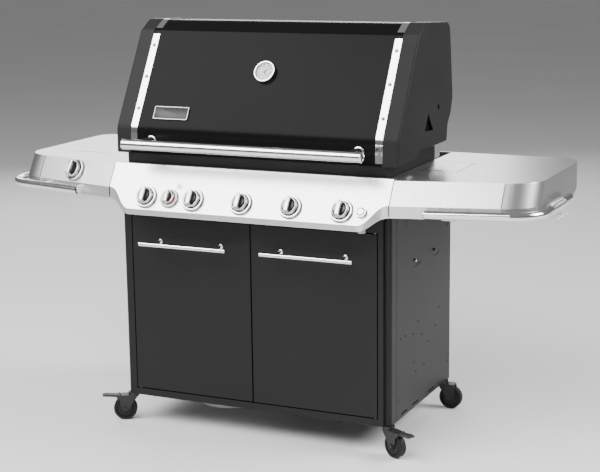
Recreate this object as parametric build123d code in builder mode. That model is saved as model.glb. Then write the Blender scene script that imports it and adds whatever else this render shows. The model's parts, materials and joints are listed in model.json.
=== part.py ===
"""Gas barbecue grill on a closed cart, in millimetres.

X runs to the viewer's right, Y to the back, Z up. The origin is on the floor under the middle of
the whole grill. Every sub-part is one file in parts/, named after the piece that it holds.
"""

from build123d import *
import os
from math import cos, hypot, radians, sin, tan

os.makedirs("parts", exist_ok=True)

# ---------------------------------------------------------------- driving dimensions
# Cart
cart_half_width = 479.0
cart_front_y = -258.0
cart_back_y = 319.0
cart_bottom_z = 98.0
cart_top_z = 880.0
post_width = 39.0
post_depth = 60.0
post_face_width = 17.0
post_step = 12.0
post_wall = 2.0
rear_post_depth = 45.0
sheet = 2.0
seam = 2.0

# Doors and rails
door_top_z = cart_top_z - 163.0
door_depth = 18.0
door_gap = 4.0
door_wall = 1.5
door_middle_gap = 5.0
door_axis_inset = 8.0
door_pin_radius = 3.0
lower_rail_height = 23.0
upper_rail_height = 38.0
door_handle_length = 316.0
door_handle_radius = 7.0
door_handle_stand = 59.0
door_handle_z = door_top_z - 80.0
door_handle_post_pitch = 224.0

# Cookbox
box_half_width = cart_half_width - 17.0
box_front_y = cart_front_y + 32.0
box_back_y = 200.0
box_rim_z = cart_top_z + 44.0
box_wall = 4.0
box_step_in = 18.0
box_body_half_width = box_half_width - 30.0
box_body_bottom_z = cart_top_z - 145.0
funnel_bottom_z = box_body_bottom_z - 50.0
funnel_half_width = 290.0
funnel_half_depth = 105.0
wing_height = 20.0
wing_front_y = -28.0
ear_thick = 10.0
ear_radius = 16.0
runner_thick = 3.0
runner_lip = 12.0
ledge_z = cart_top_z - 48.0

# Control panel
panel_half_width = cart_half_width + 13.0
panel_top_z = cart_top_z + 13.0
panel_top_y = box_front_y - 30.0
panel_bottom_half_width = panel_half_width - 94.0
panel_lip_y = panel_top_y - 84.0
panel_lip_z = panel_top_z - 135.0
panel_bottom_z = panel_lip_z - 19.0
panel_back_y = panel_top_y + 20.0
panel_end_lip_y = panel_lip_y + 38.0
panel_end_bottom_z = panel_bottom_z + 41.0
panel_curve = 42.0
slope_run = (panel_top_y - panel_lip_y) / (panel_top_z - panel_lip_z)

# Knobs
knob_pitch = 172.0
small_knob_x = -258.0
button_x = 410.0
knob_drop = 98.0
knob_radius = 28.5
small_knob_radius = 22.0
knob_height = 38.0
knob_base = 6.0
knob_push = 3.0
bezel_gap = 3.0
bezel_width = 6.0
bezel_height = 10.0
stem_radius = 4.0
run_clearance = 0.05
valve_radius = 12.0
side_valve_drop = 40.0
button_radius = 12.0
button_travel = 3.0

# Side tables
table_top_z = cart_top_z + 9.0
table_inner_x = panel_half_width + 2.0
table_length = 421.0
table_outer_x = table_inner_x + table_length
table_back_y = cart_back_y + 45.0
table_sweep = 0.237
table_lip_z = table_top_z - 71.0
table_bottom_z = table_lip_z - 37.0
table_front_corner = 105.0
table_back_corner = 60.0
table_end_x = table_outer_x - 95.0
table_end_wall = 4.0
table_tab_x = box_half_width + 6.0
side_knob_x = table_inner_x + 167.0
rail_radius = 13.0
rail_wall = 1.5
rail_z = table_lip_z - 17.0
rail_stand = 37.0
rail_end_stand = 22.0
rail_bracket_radius = 6.0
rail_inner_x = table_inner_x + 117.0
rail_back_y = 130.0
rail_bend = 105.0
hook_count = 6
hook_pitch = 22.0
hook_first_y = -78.0
hook_wire = 1.7
hook_drop = 20.0
hook_curl = 9.0

# Lid
lid_half_width = box_half_width - 16.5
lid_cap_width = 54.0
lid_skin = 2.5
lid_front_y = box_front_y - 6.0
lid_bottom_z = box_rim_z + 4.0
lid_bend_z = lid_bottom_z + 79.0
lid_crease_z = lid_bottom_z + 388.0
lid_slope = radians(30.0)
lid_top_z = lid_bottom_z + 420.0
lid_top_front_y = lid_front_y + 236.0
lid_back_top_y = box_back_y + 36.0
lid_back_y = box_back_y + 67.0
lid_back_low_y = box_back_y + 50.0
lid_back_low_z = lid_bottom_z + 114.0
pivot_y = box_back_y - 10.0
pivot_z = box_rim_z + 61.0
pivot_pin_radius = 6.0
cap_gap = 0.5
cap_wall = 4.5
cap_proud = 3.0
trim_width = 24.0
trim_thick = 2.0
handle_half_length = lid_half_width - 28.5
handle_radius = 17.0
handle_wall = 2.0
handle_y = lid_front_y - 98.0
handle_z = lid_bottom_z + 39.0
handle_post_x = handle_half_length - 50.0
handle_post_radius = 15.0
thermometer_z = lid_bottom_z + 263.0
thermometer_radius = 36.0
badge_width = 128.0
badge_height = 46.0
badge_x = 138.5 - lid_half_width
badge_z = lid_bottom_z + 128.0

# Casters
wheel_radius = 40.0
wheel_width = 24.0
caster_trail = 30.0
caster_stem_radius = 5.5
pedal_x = 52.0
pedal_z = 82.0
front_caster = (cart_half_width - 11.0, cart_front_y + 23.0)
rear_caster = (cart_half_width - 13.0, cart_back_y - 29.0)

# Burners and trays
burner_radius = 12.7
burner_wall = 1.2
grate_height = 12.0
side_burner_x = -(table_inner_x + 221.0)
side_burner_y = 98.0
cover_half_width = 150.0
cover_front_y = -54.0
cover_back_y = 250.0
cover_thick = 5.0
tank_pan_radius = 165.0
tank_pan_x = -165.0
tank_pan_y = -70.0
tank_pan_floor_z = 66.0

clear = 0.3
knob_xs = [knob_pitch * i for i in (-2, -1, 0, 1, 2)]
burner_xs = knob_xs + [small_knob_x]


def save(part, name):
    """Label one finished sub-part and write its file."""
    part.label = name
    export_step(part, f"parts/{name}.step")


def box(x0, x1, y0, y1, z0, z1, mode=Mode.ADD):
    """Add or cut a block given by its low and high corners."""
    with Locations(((x0 + x1) / 2, (y0 + y1) / 2, (z0 + z1) / 2)):
        Box(x1 - x0, y1 - y0, z1 - z0, mode=mode)


def rod(start, end, radius, mode=Mode.ADD):
    """Add or cut a round bar from one point to another."""
    run = Vector(*end) - Vector(*start)
    with Locations(Plane(origin=start, z_dir=run)):
        Cylinder(radius, run.length, align=(Align.CENTER, Align.CENTER, Align.MIN), mode=mode)


def front_y(x):
    """Y of the top front edge of the control panel or of a side table at x."""
    return panel_top_y + max(0.0, abs(x) - panel_half_width) * table_sweep


def face_plane(x, drop):
    """Plane on the sloping front face, drop mm below its top edge, facing outwards."""
    swept = abs(x) > panel_half_width
    edge = Vector(1, (table_sweep if x > 0 else -table_sweep) if swept else 0, 0)
    down = Vector(0, -slope_run, -1)
    origin = (x, front_y(x) - drop * slope_run, panel_top_z - drop)
    return Plane(origin=origin, x_dir=edge, z_dir=down.cross(edge))


# ---------------------------------------------------------------- cart frame
post_inner_x = cart_half_width - post_width
post_lead = 11.0
post_round = post_width - post_face_width - post_lead
socket_height = 45.0
rear_inner_x = cart_half_width - sheet - 0.5 - post_width

with BuildPart() as corner_posts:
    with BuildSketch(Plane.XY.offset(cart_bottom_z)):
        with BuildLine():
            step_x = post_inner_x + post_face_width
            step_y = cart_front_y + post_step
            Polyline(
                (step_x + post_lead, step_y),
                (step_x + 2, step_y),
                (step_x, cart_front_y),
                (post_inner_x, cart_front_y),
                (post_inner_x, cart_front_y + post_depth),
                (cart_half_width, cart_front_y + post_depth),
                (cart_half_width, step_y + post_round),
            )
            RadiusArc((cart_half_width, step_y + post_round), (step_x + post_lead, step_y), post_round)
        make_face()
        offset(amount=-post_wall, kind=Kind.INTERSECTION, mode=Mode.SUBTRACT)
    extrude(amount=cart_top_z - cart_bottom_z)
    with BuildSketch(Plane.XY.offset(cart_bottom_z)):
        with Locations((rear_inner_x + post_width / 2, cart_back_y - rear_post_depth / 2)):
            Rectangle(post_width, rear_post_depth)
            Rectangle(post_width - 2 * post_wall, rear_post_depth - 2 * post_wall, mode=Mode.SUBTRACT)
    extrude(amount=cart_top_z - cart_bottom_z)
    front_socket = (post_inner_x, cart_front_y + post_step + 4, cart_front_y + post_depth - 1)
    rear_socket = (rear_inner_x, cart_back_y - rear_post_depth + 1, cart_back_y - 1)
    for (x, y), (socket_x, y0, y1) in ((front_caster, front_socket), (rear_caster, rear_socket)):
        low, high = (x, y, cart_bottom_z), (x, y, cart_bottom_z + socket_height)
        rod(low, high, caster_stem_radius + 3)
        box(socket_x + 1, socket_x + post_width - 4, y0, y1, cart_bottom_z, cart_bottom_z + 6)
        rod(low, high, caster_stem_radius + run_clearance, Mode.SUBTRACT)
    mirror(about=Plane.YZ)
save(corner_posts.part, "corner_posts")

panel_front_y = cart_front_y + post_depth + seam
with BuildPart() as side_panels:
    box(cart_half_width - sheet, cart_half_width, panel_front_y, cart_back_y, cart_bottom_z, cart_top_z)
    flange_back_y = cart_back_y - rear_post_depth - 1
    box(cart_half_width - 14, cart_half_width, panel_front_y, flange_back_y, cart_bottom_z,
        cart_bottom_z + sheet)
    # two stamped crescents with a stud above each, and the rows of small service holes
    for y, z in ((-33, 588), (150, 586)):
        with BuildSketch(Plane.YZ.offset(cart_half_width)):
            with BuildLine():
                ThreePointArc((y - 62, z + 4), (y - 5, z - 16), (y + 66, z - 6))
                ThreePointArc((y + 66, z - 6), (y - 5, z - 8), (y - 62, z + 4))
            make_face()
        extrude(amount=-1.0, mode=Mode.SUBTRACT)
        rod((cart_half_width, y, z + 6), (cart_half_width + 3, y, z + 6), 4.5)
    for y, z in ((-159, 363), (-119, 363), (-49, 351), (37, 329), (96, 290), (170, 326), (-39, 254),
                 (58, 220), (-19, 218), (-181, 167), (288, 167), (205, 381), (-2, 383)):
        rod((cart_half_width - 4, y, z), (cart_half_width + 1, y, z), 3.5, Mode.SUBTRACT)
    for y in (-130, -23, 129):
        box(cart_half_width - 4, cart_half_width + 1, y - 26, y + 26, cart_bottom_z + 11, cart_bottom_z + 16,
            Mode.SUBTRACT)
    mirror(about=Plane.YZ)
save(side_panels.part, "side_panels")

with BuildPart() as rear_panel:
    box(-rear_inner_x, rear_inner_x, cart_back_y - 4, cart_back_y - 4 + sheet, cart_bottom_z + 4, 612)
    box(-rear_inner_x, rear_inner_x, cart_back_y - 14, cart_back_y - 4, 610, 612)
    for row in range(7):
        z = 420 + 22 * row
        for x in (-210, 0, 210):
            box(x - 70, x + 70, cart_back_y - 6, cart_back_y, z, z + 7, Mode.SUBTRACT)
save(rear_panel.part, "rear_panel")

inner_front_y = cart_front_y + door_depth
with BuildPart() as bottom_panel:
    box(-(cart_half_width - sheet - 1), cart_half_width - sheet - 1, inner_front_y, cart_back_y - 4,
        cart_bottom_z + 4, cart_bottom_z + 6)
    with BuildSketch(Plane.XY.offset(cart_bottom_z)):
        with Locations((tank_pan_x, tank_pan_y)):
            Circle(tank_pan_radius - 14)
    extrude(amount=10, mode=Mode.SUBTRACT)
    for sx in (-1, 1):
        box(min(sx * (post_inner_x - 1), sx * 500), max(sx * (post_inner_x - 1), sx * 500),
            inner_front_y - 1, cart_front_y + post_depth + 1, cart_bottom_z, cart_bottom_z + 10, Mode.SUBTRACT)
        box(min(sx * (rear_inner_x - 1), sx * 500), max(sx * (rear_inner_x - 1), sx * 500),
            cart_back_y - rear_post_depth - 1, cart_back_y + 1, cart_bottom_z,
                cart_bottom_z + 10, Mode.SUBTRACT)
save(bottom_panel.part, "bottom_panel")

pan_seat_z = cart_bottom_z + 6
with BuildPart() as tank_pan:
    with BuildSketch(Plane(origin=(tank_pan_x, tank_pan_y, 0), x_dir=(1, 0, 0), z_dir=(0, -1, 0))):
        with BuildLine():
            Polyline(
                (0, tank_pan_floor_z),
                (tank_pan_radius - 38, tank_pan_floor_z),
                (tank_pan_radius - 15, pan_seat_z - 16),
                (tank_pan_radius - 15, pan_seat_z),
                (tank_pan_radius, pan_seat_z),
                (tank_pan_radius, pan_seat_z + 1.5),
                (tank_pan_radius - 16.5, pan_seat_z + 1.5),
                (tank_pan_radius - 16.5, pan_seat_z - 15.5),
                (tank_pan_radius - 39, tank_pan_floor_z + 1.5),
                (0, tank_pan_floor_z + 1.5),
                close=True,
            )
        make_face()
    revolve(axis=Axis((tank_pan_x, tank_pan_y, 0), (0, 0, 1)))
save(tank_pan.part, "tank_pan")

with BuildPart() as front_rails:
    for z0, height in ((cart_bottom_z, lower_rail_height), (door_top_z + 5, upper_rail_height)):
        box(-post_inner_x, post_inner_x, cart_front_y, inner_front_y, z0, z0 + height)
        box(-post_inner_x, post_inner_x, cart_front_y + sheet, inner_front_y - sheet, z0 + sheet,
            z0 + height - sheet, Mode.SUBTRACT)
save(front_rails.part, "front_rails")

# ---------------------------------------------------------------- cookbox and what it holds
body_front_y = box_front_y + box_step_in
body_back_y = box_back_y - box_step_in
step_z = cart_top_z
ear_inner_x = box_body_half_width
runner_x = funnel_half_width + 25.0
runner_z = funnel_bottom_z - 16.0
burner_z = panel_top_z - knob_drop - 17.0


def funnel(inset):
    """Sloping bottom of the cookbox, smaller all round by inset."""
    with BuildSketch(Plane.XY.offset(box_body_bottom_z)) as top:
        with Locations((0, (body_front_y + body_back_y) / 2)):
            Rectangle(2 * (box_body_half_width - inset), body_back_y - body_front_y - 2 * inset)
    with BuildSketch(Plane.XY.offset(funnel_bottom_z)) as bottom:
        Rectangle(2 * (funnel_half_width - inset), 2 * (funnel_half_depth - inset))
    loft([top.sketch, bottom.sketch], mode=Mode.ADD if inset == 0 else Mode.SUBTRACT)


with BuildPart() as cookbox:
    box(-box_half_width, box_half_width, box_front_y, box_back_y, step_z, box_rim_z)
    box(-box_body_half_width, box_body_half_width, body_front_y, body_back_y, box_body_bottom_z, step_z)
    funnel(0)
    box(-box_half_width + box_wall, box_half_width - box_wall, box_front_y + box_wall, box_back_y - box_wall,
        step_z + box_wall, box_rim_z + 1, Mode.SUBTRACT)
    box(-box_body_half_width + box_wall, box_body_half_width - box_wall, body_front_y + box_wall,
        body_back_y - box_wall, box_body_bottom_z - 0.01, step_z + box_wall + 1, Mode.SUBTRACT)
    funnel(box_wall)
    for sx in (-1, 1):
        x0, x1 = sorted((sx * (box_half_width - box_wall), sx * box_half_width))
        with BuildSketch(Plane.YZ.offset(x0)):
            with BuildLine():
                wing_top_z = box_rim_z + wing_height
                Polyline((wing_front_y, box_rim_z), (wing_front_y + 12, wing_top_z), (pivot_y - 45, wing_top_z),
                         (pivot_y - 30, wing_top_z - 10), (box_back_y, wing_top_z - 10),
                         (box_back_y, box_rim_z), close=True)
            make_face()
        extrude(amount=box_wall)
        # hinge ear, with the hole for the lid's pivot pin
        ear_x = min(sx * ear_inner_x, sx * (ear_inner_x + ear_thick))
        with BuildSketch(Plane.YZ.offset(ear_x)):
            with BuildLine():
                Polyline((pivot_y - 35, step_z + 2), (pivot_y + 6, step_z + 2), (pivot_y + ear_radius, pivot_z),
                         (pivot_y - ear_radius, pivot_z), close=True)
            make_face()
            with Locations((pivot_y, pivot_z)):
                Circle(ear_radius)
                Circle(pivot_pin_radius, mode=Mode.SUBTRACT)
        extrude(amount=ear_thick)
        # runners that carry the grease tray
        a, b = sorted((sx * (runner_x - runner_thick), sx * runner_x))
        box(a, b, -funnel_half_depth, funnel_half_depth, runner_z, funnel_bottom_z + 8)
        a, b = sorted((sx * (runner_x - runner_lip), sx * runner_x))
        box(a, b, -funnel_half_depth, funnel_half_depth, runner_z, runner_z + runner_thick)
    # ledges for the heat deflectors
    ledge_x = box_body_half_width - 2
    front_ledge = (body_front_y + 2, body_front_y + box_wall + 10)
    rear_ledge = (body_back_y - box_wall - 10, body_back_y - 2)
    for y0, y1 in (front_ledge, rear_ledge):
        box(-ledge_x, ledge_x, y0, y1, ledge_z, ledge_z + box_wall)
    for x in burner_xs:
        rod((x, body_front_y - 1, burner_z), (x, body_front_y + box_wall + 1, burner_z), burner_radius + clear,
            Mode.SUBTRACT)
save(cookbox.part, "cookbox")

grate_gap = 3.0
grate_width = (2 * (box_body_half_width - 2) - 2 * grate_gap) / 3
grate_front = box_front_y + box_wall + 2
grate_back = box_back_y - box_wall - 2
grate_z = step_z + box_wall
with BuildPart() as cooking_grates:
    for i in (-1, 0, 1):
        xc = i * (grate_width + grate_gap)
        x0, x1 = xc - grate_width / 2, xc + grate_width / 2
        box(x0, x1, grate_front, grate_back, grate_z, grate_z + grate_height)
        slots = 14
        pitch = (grate_width - 8) / slots
        for k in range(slots):
            sx0 = x0 + 8 + k * pitch
            for y0, y1 in ((grate_front + 10, -84), (-76, 56), (64, grate_back - 10)):
                box(sx0, sx0 + pitch - 8, y0, y1, grate_z - 1, grate_z + grate_height + 1, Mode.SUBTRACT)
save(cooking_grates.part, "cooking_grates")

deflector_pitch = knob_pitch / 2
with BuildPart() as heat_deflectors:
    for i in range(-4, 5):
        x = i * deflector_pitch
        with BuildSketch(Plane.XZ.offset(-(body_back_y - box_wall - 1))):
            with BuildLine():
                z = ledge_z + box_wall
                Polyline((x - 26, z), (x, z + 26), (x + 26, z), (x + 26, z + 3), (x, z + 29), (x - 26, z + 3),
                         close=True)
            make_face()
        extrude(amount=body_back_y - body_front_y - 2 * box_wall - 2)
save(heat_deflectors.part, "heat_deflectors")

burner_front_y = body_front_y - 26
with BuildPart() as burner_tubes:
    for x in burner_xs:
        end = body_back_y - box_wall
        rod((x, burner_front_y, burner_z), (x, end, burner_z), burner_radius)
        rod((x, burner_front_y - 1, burner_z), (x, end - 3, burner_z), burner_radius - burner_wall,
            Mode.SUBTRACT)
save(burner_tubes.part, "burner_tubes")

manifold_radius = 10.0
manifold_wall = 2.0
manifold_y = panel_lip_y + 50.0
manifold_z = panel_lip_z - 6.0
manifold_end_x = button_x + 10.0
inlet_x = manifold_end_x - 22.0
inlet_low_z = manifold_z - 26.0
inlet_bore_radius = 5.0
with BuildPart() as gas_manifold:
    rod((-manifold_end_x, manifold_y, manifold_z), (manifold_end_x, manifold_y, manifold_z), manifold_radius)
    rod((-manifold_end_x + 5, manifold_y, manifold_z), (manifold_end_x - 5, manifold_y, manifold_z),
        manifold_radius - manifold_wall, Mode.SUBTRACT)
    # inlet fitting with its open bore, at the right-hand end
    rod((inlet_x, manifold_y, manifold_z), (inlet_x, manifold_y, inlet_low_z), 9)
    with BuildSketch(Plane.XY.offset(inlet_low_z)):
        with Locations((inlet_x, manifold_y)):
            RegularPolygon(13, 6)
    extrude(amount=9)
    rod((inlet_x, manifold_y, manifold_z), (inlet_x, manifold_y, inlet_low_z - 1), inlet_bore_radius,
        Mode.SUBTRACT)
save(gas_manifold.part, "gas_manifold")

valve_front, valve_back, valve_bore = 12.0, 50.0, 46.0
stem_inner = 38.0
with BuildPart() as gas_valves:
    for x in burner_xs:
        plane = face_plane(x, knob_drop)
        with BuildSketch(plane.offset(-valve_front)):
            Circle(valve_radius)
        extrude(amount=valve_front - valve_back)
        rod((x, manifold_y, manifold_z), (x, manifold_y, burner_z), 7)
        rod((x, manifold_y, burner_z), (x, burner_front_y + 6, burner_z), 6)
        with BuildSketch(plane.offset(-valve_front)):
            Circle(stem_radius + run_clearance)
        extrude(amount=valve_front - valve_bore, mode=Mode.SUBTRACT)
    rod((-manifold_end_x, manifold_y, manifold_z), (manifold_end_x, manifold_y, manifold_z), manifold_radius,
        Mode.SUBTRACT)
    plane = face_plane(-side_knob_x, side_valve_drop)
    with BuildSketch(plane.offset(-valve_front)):
        Circle(valve_radius)
        Circle(stem_radius + run_clearance, mode=Mode.SUBTRACT)
    extrude(amount=valve_front - valve_bore)
    with BuildSketch(plane.offset(-valve_bore)):
        Circle(valve_radius)
    extrude(amount=-6)
save(gas_valves.part, "gas_valves")

rack_z = cart_top_z + 160.0
rack_half_width = box_body_half_width - 8.0
rack_pitch = rack_half_width / 8
leg_gap = 0.02
with BuildPart() as warming_rack:
    for y in (24, 60, 96, 132, 168):
        rod((-rack_half_width, y, rack_z), (rack_half_width, y, rack_z), 3)
    for x in [rack_pitch * k for k in range(-8, 9)]:
        rod((x, 21, rack_z + 3), (x, 171, rack_z + 3), 2)
    for x in (12 - rack_half_width, rack_half_width - 12):
        for y in (60, 132):
            rod((x, y, grate_z + grate_height), (x, y, rack_z - 6 - leg_gap), 4)
            rod((x, y, rack_z - 6), (x, y, rack_z), 6)
save(warming_rack.part, "warming_rack")

# ---------------------------------------------------------------- control panel


def panel_section(inset):
    """Side profile of the control panel, smaller by inset on the front and top."""
    shift = inset * hypot(1, slope_run)
    low_z = panel_bottom_z - 40
    back_y = panel_back_y + (20 if inset else 0)
    with BuildSketch(Plane.YZ) as section:
        with BuildLine():
            Polyline(
                (panel_top_y + shift - inset * slope_run, panel_top_z - inset),
                (panel_top_y + shift - (panel_top_z - low_z) * slope_run, low_z),
                (back_y, low_z),
                (back_y, panel_top_z - inset),
                close=True,
            )
        make_face()
    return section.sketch


def swept_edge(plane, end, middle, far):
    """Region past the front or bottom edge, which runs from middle out to end in an S-curve."""
    outer, inner = panel_half_width, panel_bottom_half_width
    reach = outer + 200
    with BuildSketch(plane) as region:
        with BuildLine():
            Polyline((inner, middle), (-inner, middle))
            Bezier((-inner, middle), (-inner - panel_curve, middle), (-outer + panel_curve, end), (-outer, end))
            Polyline((-outer, end), (-reach, end), (-reach, far), (reach, far), (reach, end), (outer, end))
            Bezier((outer, end), (outer - panel_curve, end), (inner + panel_curve, middle), (inner, middle))
        make_face()
    return region.sketch


def panel_block(inset):
    """Wedge of the control panel, smaller by inset on the front and top."""
    section = panel_section(inset)
    plan = swept_edge(Plane.XY.offset(panel_bottom_z - 50), panel_end_lip_y + inset, panel_lip_y + inset, 0)
    with BuildPart() as block:
        extrude(section, amount=panel_half_width + (20 if inset else 0), both=True)
        extrude(plan, amount=300, mode=Mode.INTERSECT)
        if not inset:
            below = swept_edge(Plane.XZ, panel_end_bottom_z, panel_bottom_z, 0)
            extrude(below, amount=600, both=True, mode=Mode.SUBTRACT)
    return block.part


panel_outer = panel_block(0)
panel_hollow = panel_block(sheet)
with BuildPart() as control_panel:
    add(panel_outer)
    add(panel_hollow, mode=Mode.SUBTRACT)
    for x in burner_xs:
        with BuildSketch(face_plane(x, knob_drop).offset(1)):
            Circle(stem_radius + 2)
        extrude(amount=-8, mode=Mode.SUBTRACT)
    with BuildSketch(face_plane(button_x, knob_drop).offset(1)):
        Circle(button_radius + 1.5)
    extrude(amount=-8, mode=Mode.SUBTRACT)
save(control_panel.part, "control_panel")

# ---------------------------------------------------------------- knobs, valve stems and bezels
knobs = [(f"knob_{i + 1}", x, knob_drop, knob_radius) for i, x in enumerate(knob_xs)]
knobs += [("small_knob", small_knob_x, knob_drop, small_knob_radius),
          ("side_burner_knob", -side_knob_x, side_valve_drop, knob_radius)]

with BuildPart() as knob_bezels:
    for name, x, drop, radius in knobs + [("button", button_x, knob_drop, button_radius + 1)]:
        inner = radius + bezel_gap if name != "button" else button_radius + 0.5
        plane = face_plane(x, drop)
        with BuildSketch(plane):
            Circle(inner + bezel_width)
            Circle(inner if name == "button" else stem_radius + 2, mode=Mode.SUBTRACT)
        extrude(amount=1.5)
        with BuildSketch(plane.offset(1.5)):
            Circle(inner + bezel_width)
            Circle(inner, mode=Mode.SUBTRACT)
        extrude(amount=bezel_height - 1.5, taper=8)
save(knob_bezels.part, "knob_bezels")

for name, x, drop, radius in knobs:
    plane = face_plane(x, drop)
    tall = knob_height * (1 if radius == knob_radius else 0.85)
    with BuildPart() as knob:
        with BuildSketch(plane.offset(knob_base)):
            Circle(radius)
        extrude(amount=8)
        with BuildSketch(plane.offset(knob_base + 8)):
            Circle(radius)
        extrude(amount=6, taper=35)
        with BuildSketch(plane.offset(knob_base + 10)):
            RectangleRounded(radius * 0.56, 1.86 * radius, radius * 0.2)
        extrude(amount=tall - 10, taper=4)
        with BuildSketch(plane.offset(knob_base)):
            Circle(stem_radius + run_clearance)
        extrude(amount=14, mode=Mode.SUBTRACT)
    save(knob.part, name)
    with BuildPart() as stem:
        with BuildSketch(plane.offset(-stem_inner)):
            Circle(stem_radius)
        extrude(amount=stem_inner + knob_base + 13.8)
    save(stem.part, name.replace("knob", "valve_stem"))

with BuildPart() as push_button:
    plane = face_plane(button_x, knob_drop)
    with BuildSketch(plane.offset(-14)):
        Circle(button_radius)
    extrude(amount=14 + 12)
    fillet(push_button.edges().filter_by(GeomType.CIRCLE).sort_by(Axis((0, 0, 0), tuple(plane.z_dir)))[-1], 3)
save(push_button.part, "push_button")

# ---------------------------------------------------------------- side tables


def table_outline(side, plane, front_shift, inset):
    """Plan of a side table at one level, its front edge moved by front_shift."""
    x0, x1 = table_inner_x - (20 if inset else 0), table_outer_x - inset
    lip = front_y(table_inner_x) - (panel_top_z - table_lip_z) * slope_run + front_shift + inset
    y_in, y_out = lip + (x0 - table_inner_x) * table_sweep, lip + (x1 - table_inner_x) * table_sweep
    with BuildSketch(plane) as outline:
        with BuildLine():
            Polyline((side * x0, y_in), (side * x1, y_out), (side * x1, table_back_y - inset),
                     (side * x0, table_back_y - inset), close=True)
        make_face()
        outer = outline.vertices().sort_by(Axis.X)[-2:] if side > 0 else outline.vertices().sort_by(Axis.X)[:2]
        fillet(outer.sort_by(Axis.Y)[0], table_front_corner - inset)
        outer = outline.vertices().sort_by(Axis.Y)[-2:]
        fillet(outer.sort_by(Axis.X)[-1 if side > 0 else 0], table_back_corner - inset)
    return outline.sketch


def table_block(side, inset):
    """Solid of a side table: upright skirt with the sloping front above it."""
    rise = (table_top_z - table_lip_z) * slope_run
    low = table_outline(side, Plane.XY.offset(table_bottom_z - (5 if inset else 0)), 0, inset)
    middle = table_outline(side, Plane.XY.offset(table_lip_z), 0, inset)
    top = table_outline(side, Plane.XY.offset(table_top_z - inset), rise - inset * slope_run, inset)
    with BuildPart() as block:
        extrude(low, amount=table_lip_z - table_bottom_z + (5 if inset else 0))
        loft([middle, top])
    return block.part


cover_rest_z = table_top_z - cover_thick - clear
cover_pin_z = table_top_z - cover_thick / 2
cover_pin_y = cover_back_y - cover_thick / 2
cover_clear = 1.5
cover_x0 = side_burner_x - cover_half_width - cover_clear
cover_x1 = side_burner_x + cover_half_width + cover_clear
cover_y0, cover_y1 = cover_front_y - cover_clear, cover_back_y + cover_clear
cover_pin_radius = 1.5
burner_hole = 118.0
insert_x0, insert_x1, insert_y0, insert_y1 = table_inner_x + 12.0, table_inner_x + 123.0, -42.0, 156.0
insert_clear = 1.2
table_solids = {side: table_block(side, 0) for side in (-1, 1)}

for side, name in ((-1, "left"), (1, "right")):
    hollow = table_block(side, sheet)
    with BuildPart() as table:
        add(table_solids[side])
        add(hollow, mode=Mode.SUBTRACT)
        # inner strip beside the cookbox and the narrow bar behind it
        a, b = sorted((side * table_tab_x, side * (table_inner_x + 1)))
        box(a, b, box_front_y - 4, table_back_y, table_top_z - sheet, table_top_z)
        a, b = sorted((side * (box_body_half_width - 7), side * (table_inner_x + 1)))
        box(a, b, table_back_y - 8, table_back_y, table_top_z - 17, table_top_z)
        # the end cap band is a piece of its own
        a, b = sorted((side * table_end_x, side * 1000))
        box(a, b, -400, table_back_y - table_back_corner, table_bottom_z - 10, table_top_z - sheet,
            Mode.SUBTRACT)
        a, b = sorted((side * (table_outer_x - table_back_corner - 2), side * 1000))
        box(a, b, -400, 500, table_bottom_z - 10, table_top_z - sheet, Mode.SUBTRACT)
        if side < 0:
            floor_z = cover_rest_z - sheet
            box(cover_x0 - 2, cover_x1 + 2, cover_y0 - 2, cover_y1 + 2, floor_z, table_top_z - sheet)
            box(cover_x0, cover_x1, cover_y0, cover_y1, cover_rest_z, table_top_z + 1, Mode.SUBTRACT)
            box(side_burner_x - burner_hole, side_burner_x + burner_hole, side_burner_y - burner_hole,
                side_burner_y + burner_hole, floor_z - 1, cover_rest_z + 1, Mode.SUBTRACT)
            rod((cover_x0 - 5, cover_pin_y, cover_pin_z), (cover_x1 + 5, cover_pin_y, cover_pin_z),
                cover_pin_radius + run_clearance, Mode.SUBTRACT)
            # finger slot in front of the cover
            box(side_burner_x - 53, side_burner_x + 44, cover_y0 - 7, cover_y0 + 1, table_top_z - 10,
                table_top_z + 1, Mode.SUBTRACT)
            plane = face_plane(-side_knob_x, side_valve_drop)
            with BuildSketch(plane.offset(6)):
                Circle(stem_radius + 2)
            extrude(amount=-16, mode=Mode.SUBTRACT)
        else:
            box(insert_x0 - 4, insert_x1 + 4, insert_y0 - 4, insert_y1 + 4, cover_rest_z - sheet,
                table_top_z - sheet)
            box(insert_x0 - insert_clear, insert_x1 + insert_clear, insert_y0 - insert_clear,
                insert_y1 + insert_clear, cover_rest_z, table_top_z + 1, Mode.SUBTRACT)
    save(table.part, f"table_{name}")

end_hollow = table_block(1, table_end_wall)
roof_rise = (table_top_z - table_lip_z) * slope_run
end_roof = table_outline(1, Plane.XY.offset(table_top_z - 12), roof_rise, table_end_wall)
with BuildPart() as table_ends:
    add(table_solids[1])
    add(end_hollow, mode=Mode.SUBTRACT)
    box(0, table_end_x, -500, 500, 700, 1000, Mode.SUBTRACT)
    box(0, table_outer_x - table_back_corner - 2, -100, 500, 700, 1000, Mode.SUBTRACT)
    box(0, 1000, -500, 500, table_top_z - sheet, 1000, Mode.SUBTRACT)
    extrude(end_roof, amount=20, mode=Mode.SUBTRACT)
    # the band stops short of the rear corner with a slanted end
    with BuildSketch(Plane.YZ.offset(700)):
        with BuildLine():
            Polyline((table_back_y - 109, 700), (table_back_y - 96, table_bottom_z),
                     (table_back_y - 42, table_bottom_z + 25), (table_back_y - 30, table_bottom_z + 49),
                     (500, table_bottom_z + 49), (500, 700), close=True)
        make_face()
    extrude(amount=400, mode=Mode.SUBTRACT)
    mirror(about=Plane.YZ)
save(table_ends.part, "table_ends")

with BuildPart() as table_insert:
    box(insert_x0, insert_x1, insert_y0, insert_y1, cover_rest_z, table_top_z)
    box(insert_x0 + 24, insert_x0 + 54, insert_y0 + 14, insert_y0 + 22, cover_rest_z - 1, table_top_z + 1,
        Mode.SUBTRACT)
save(table_insert.part, "table_insert")

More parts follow.
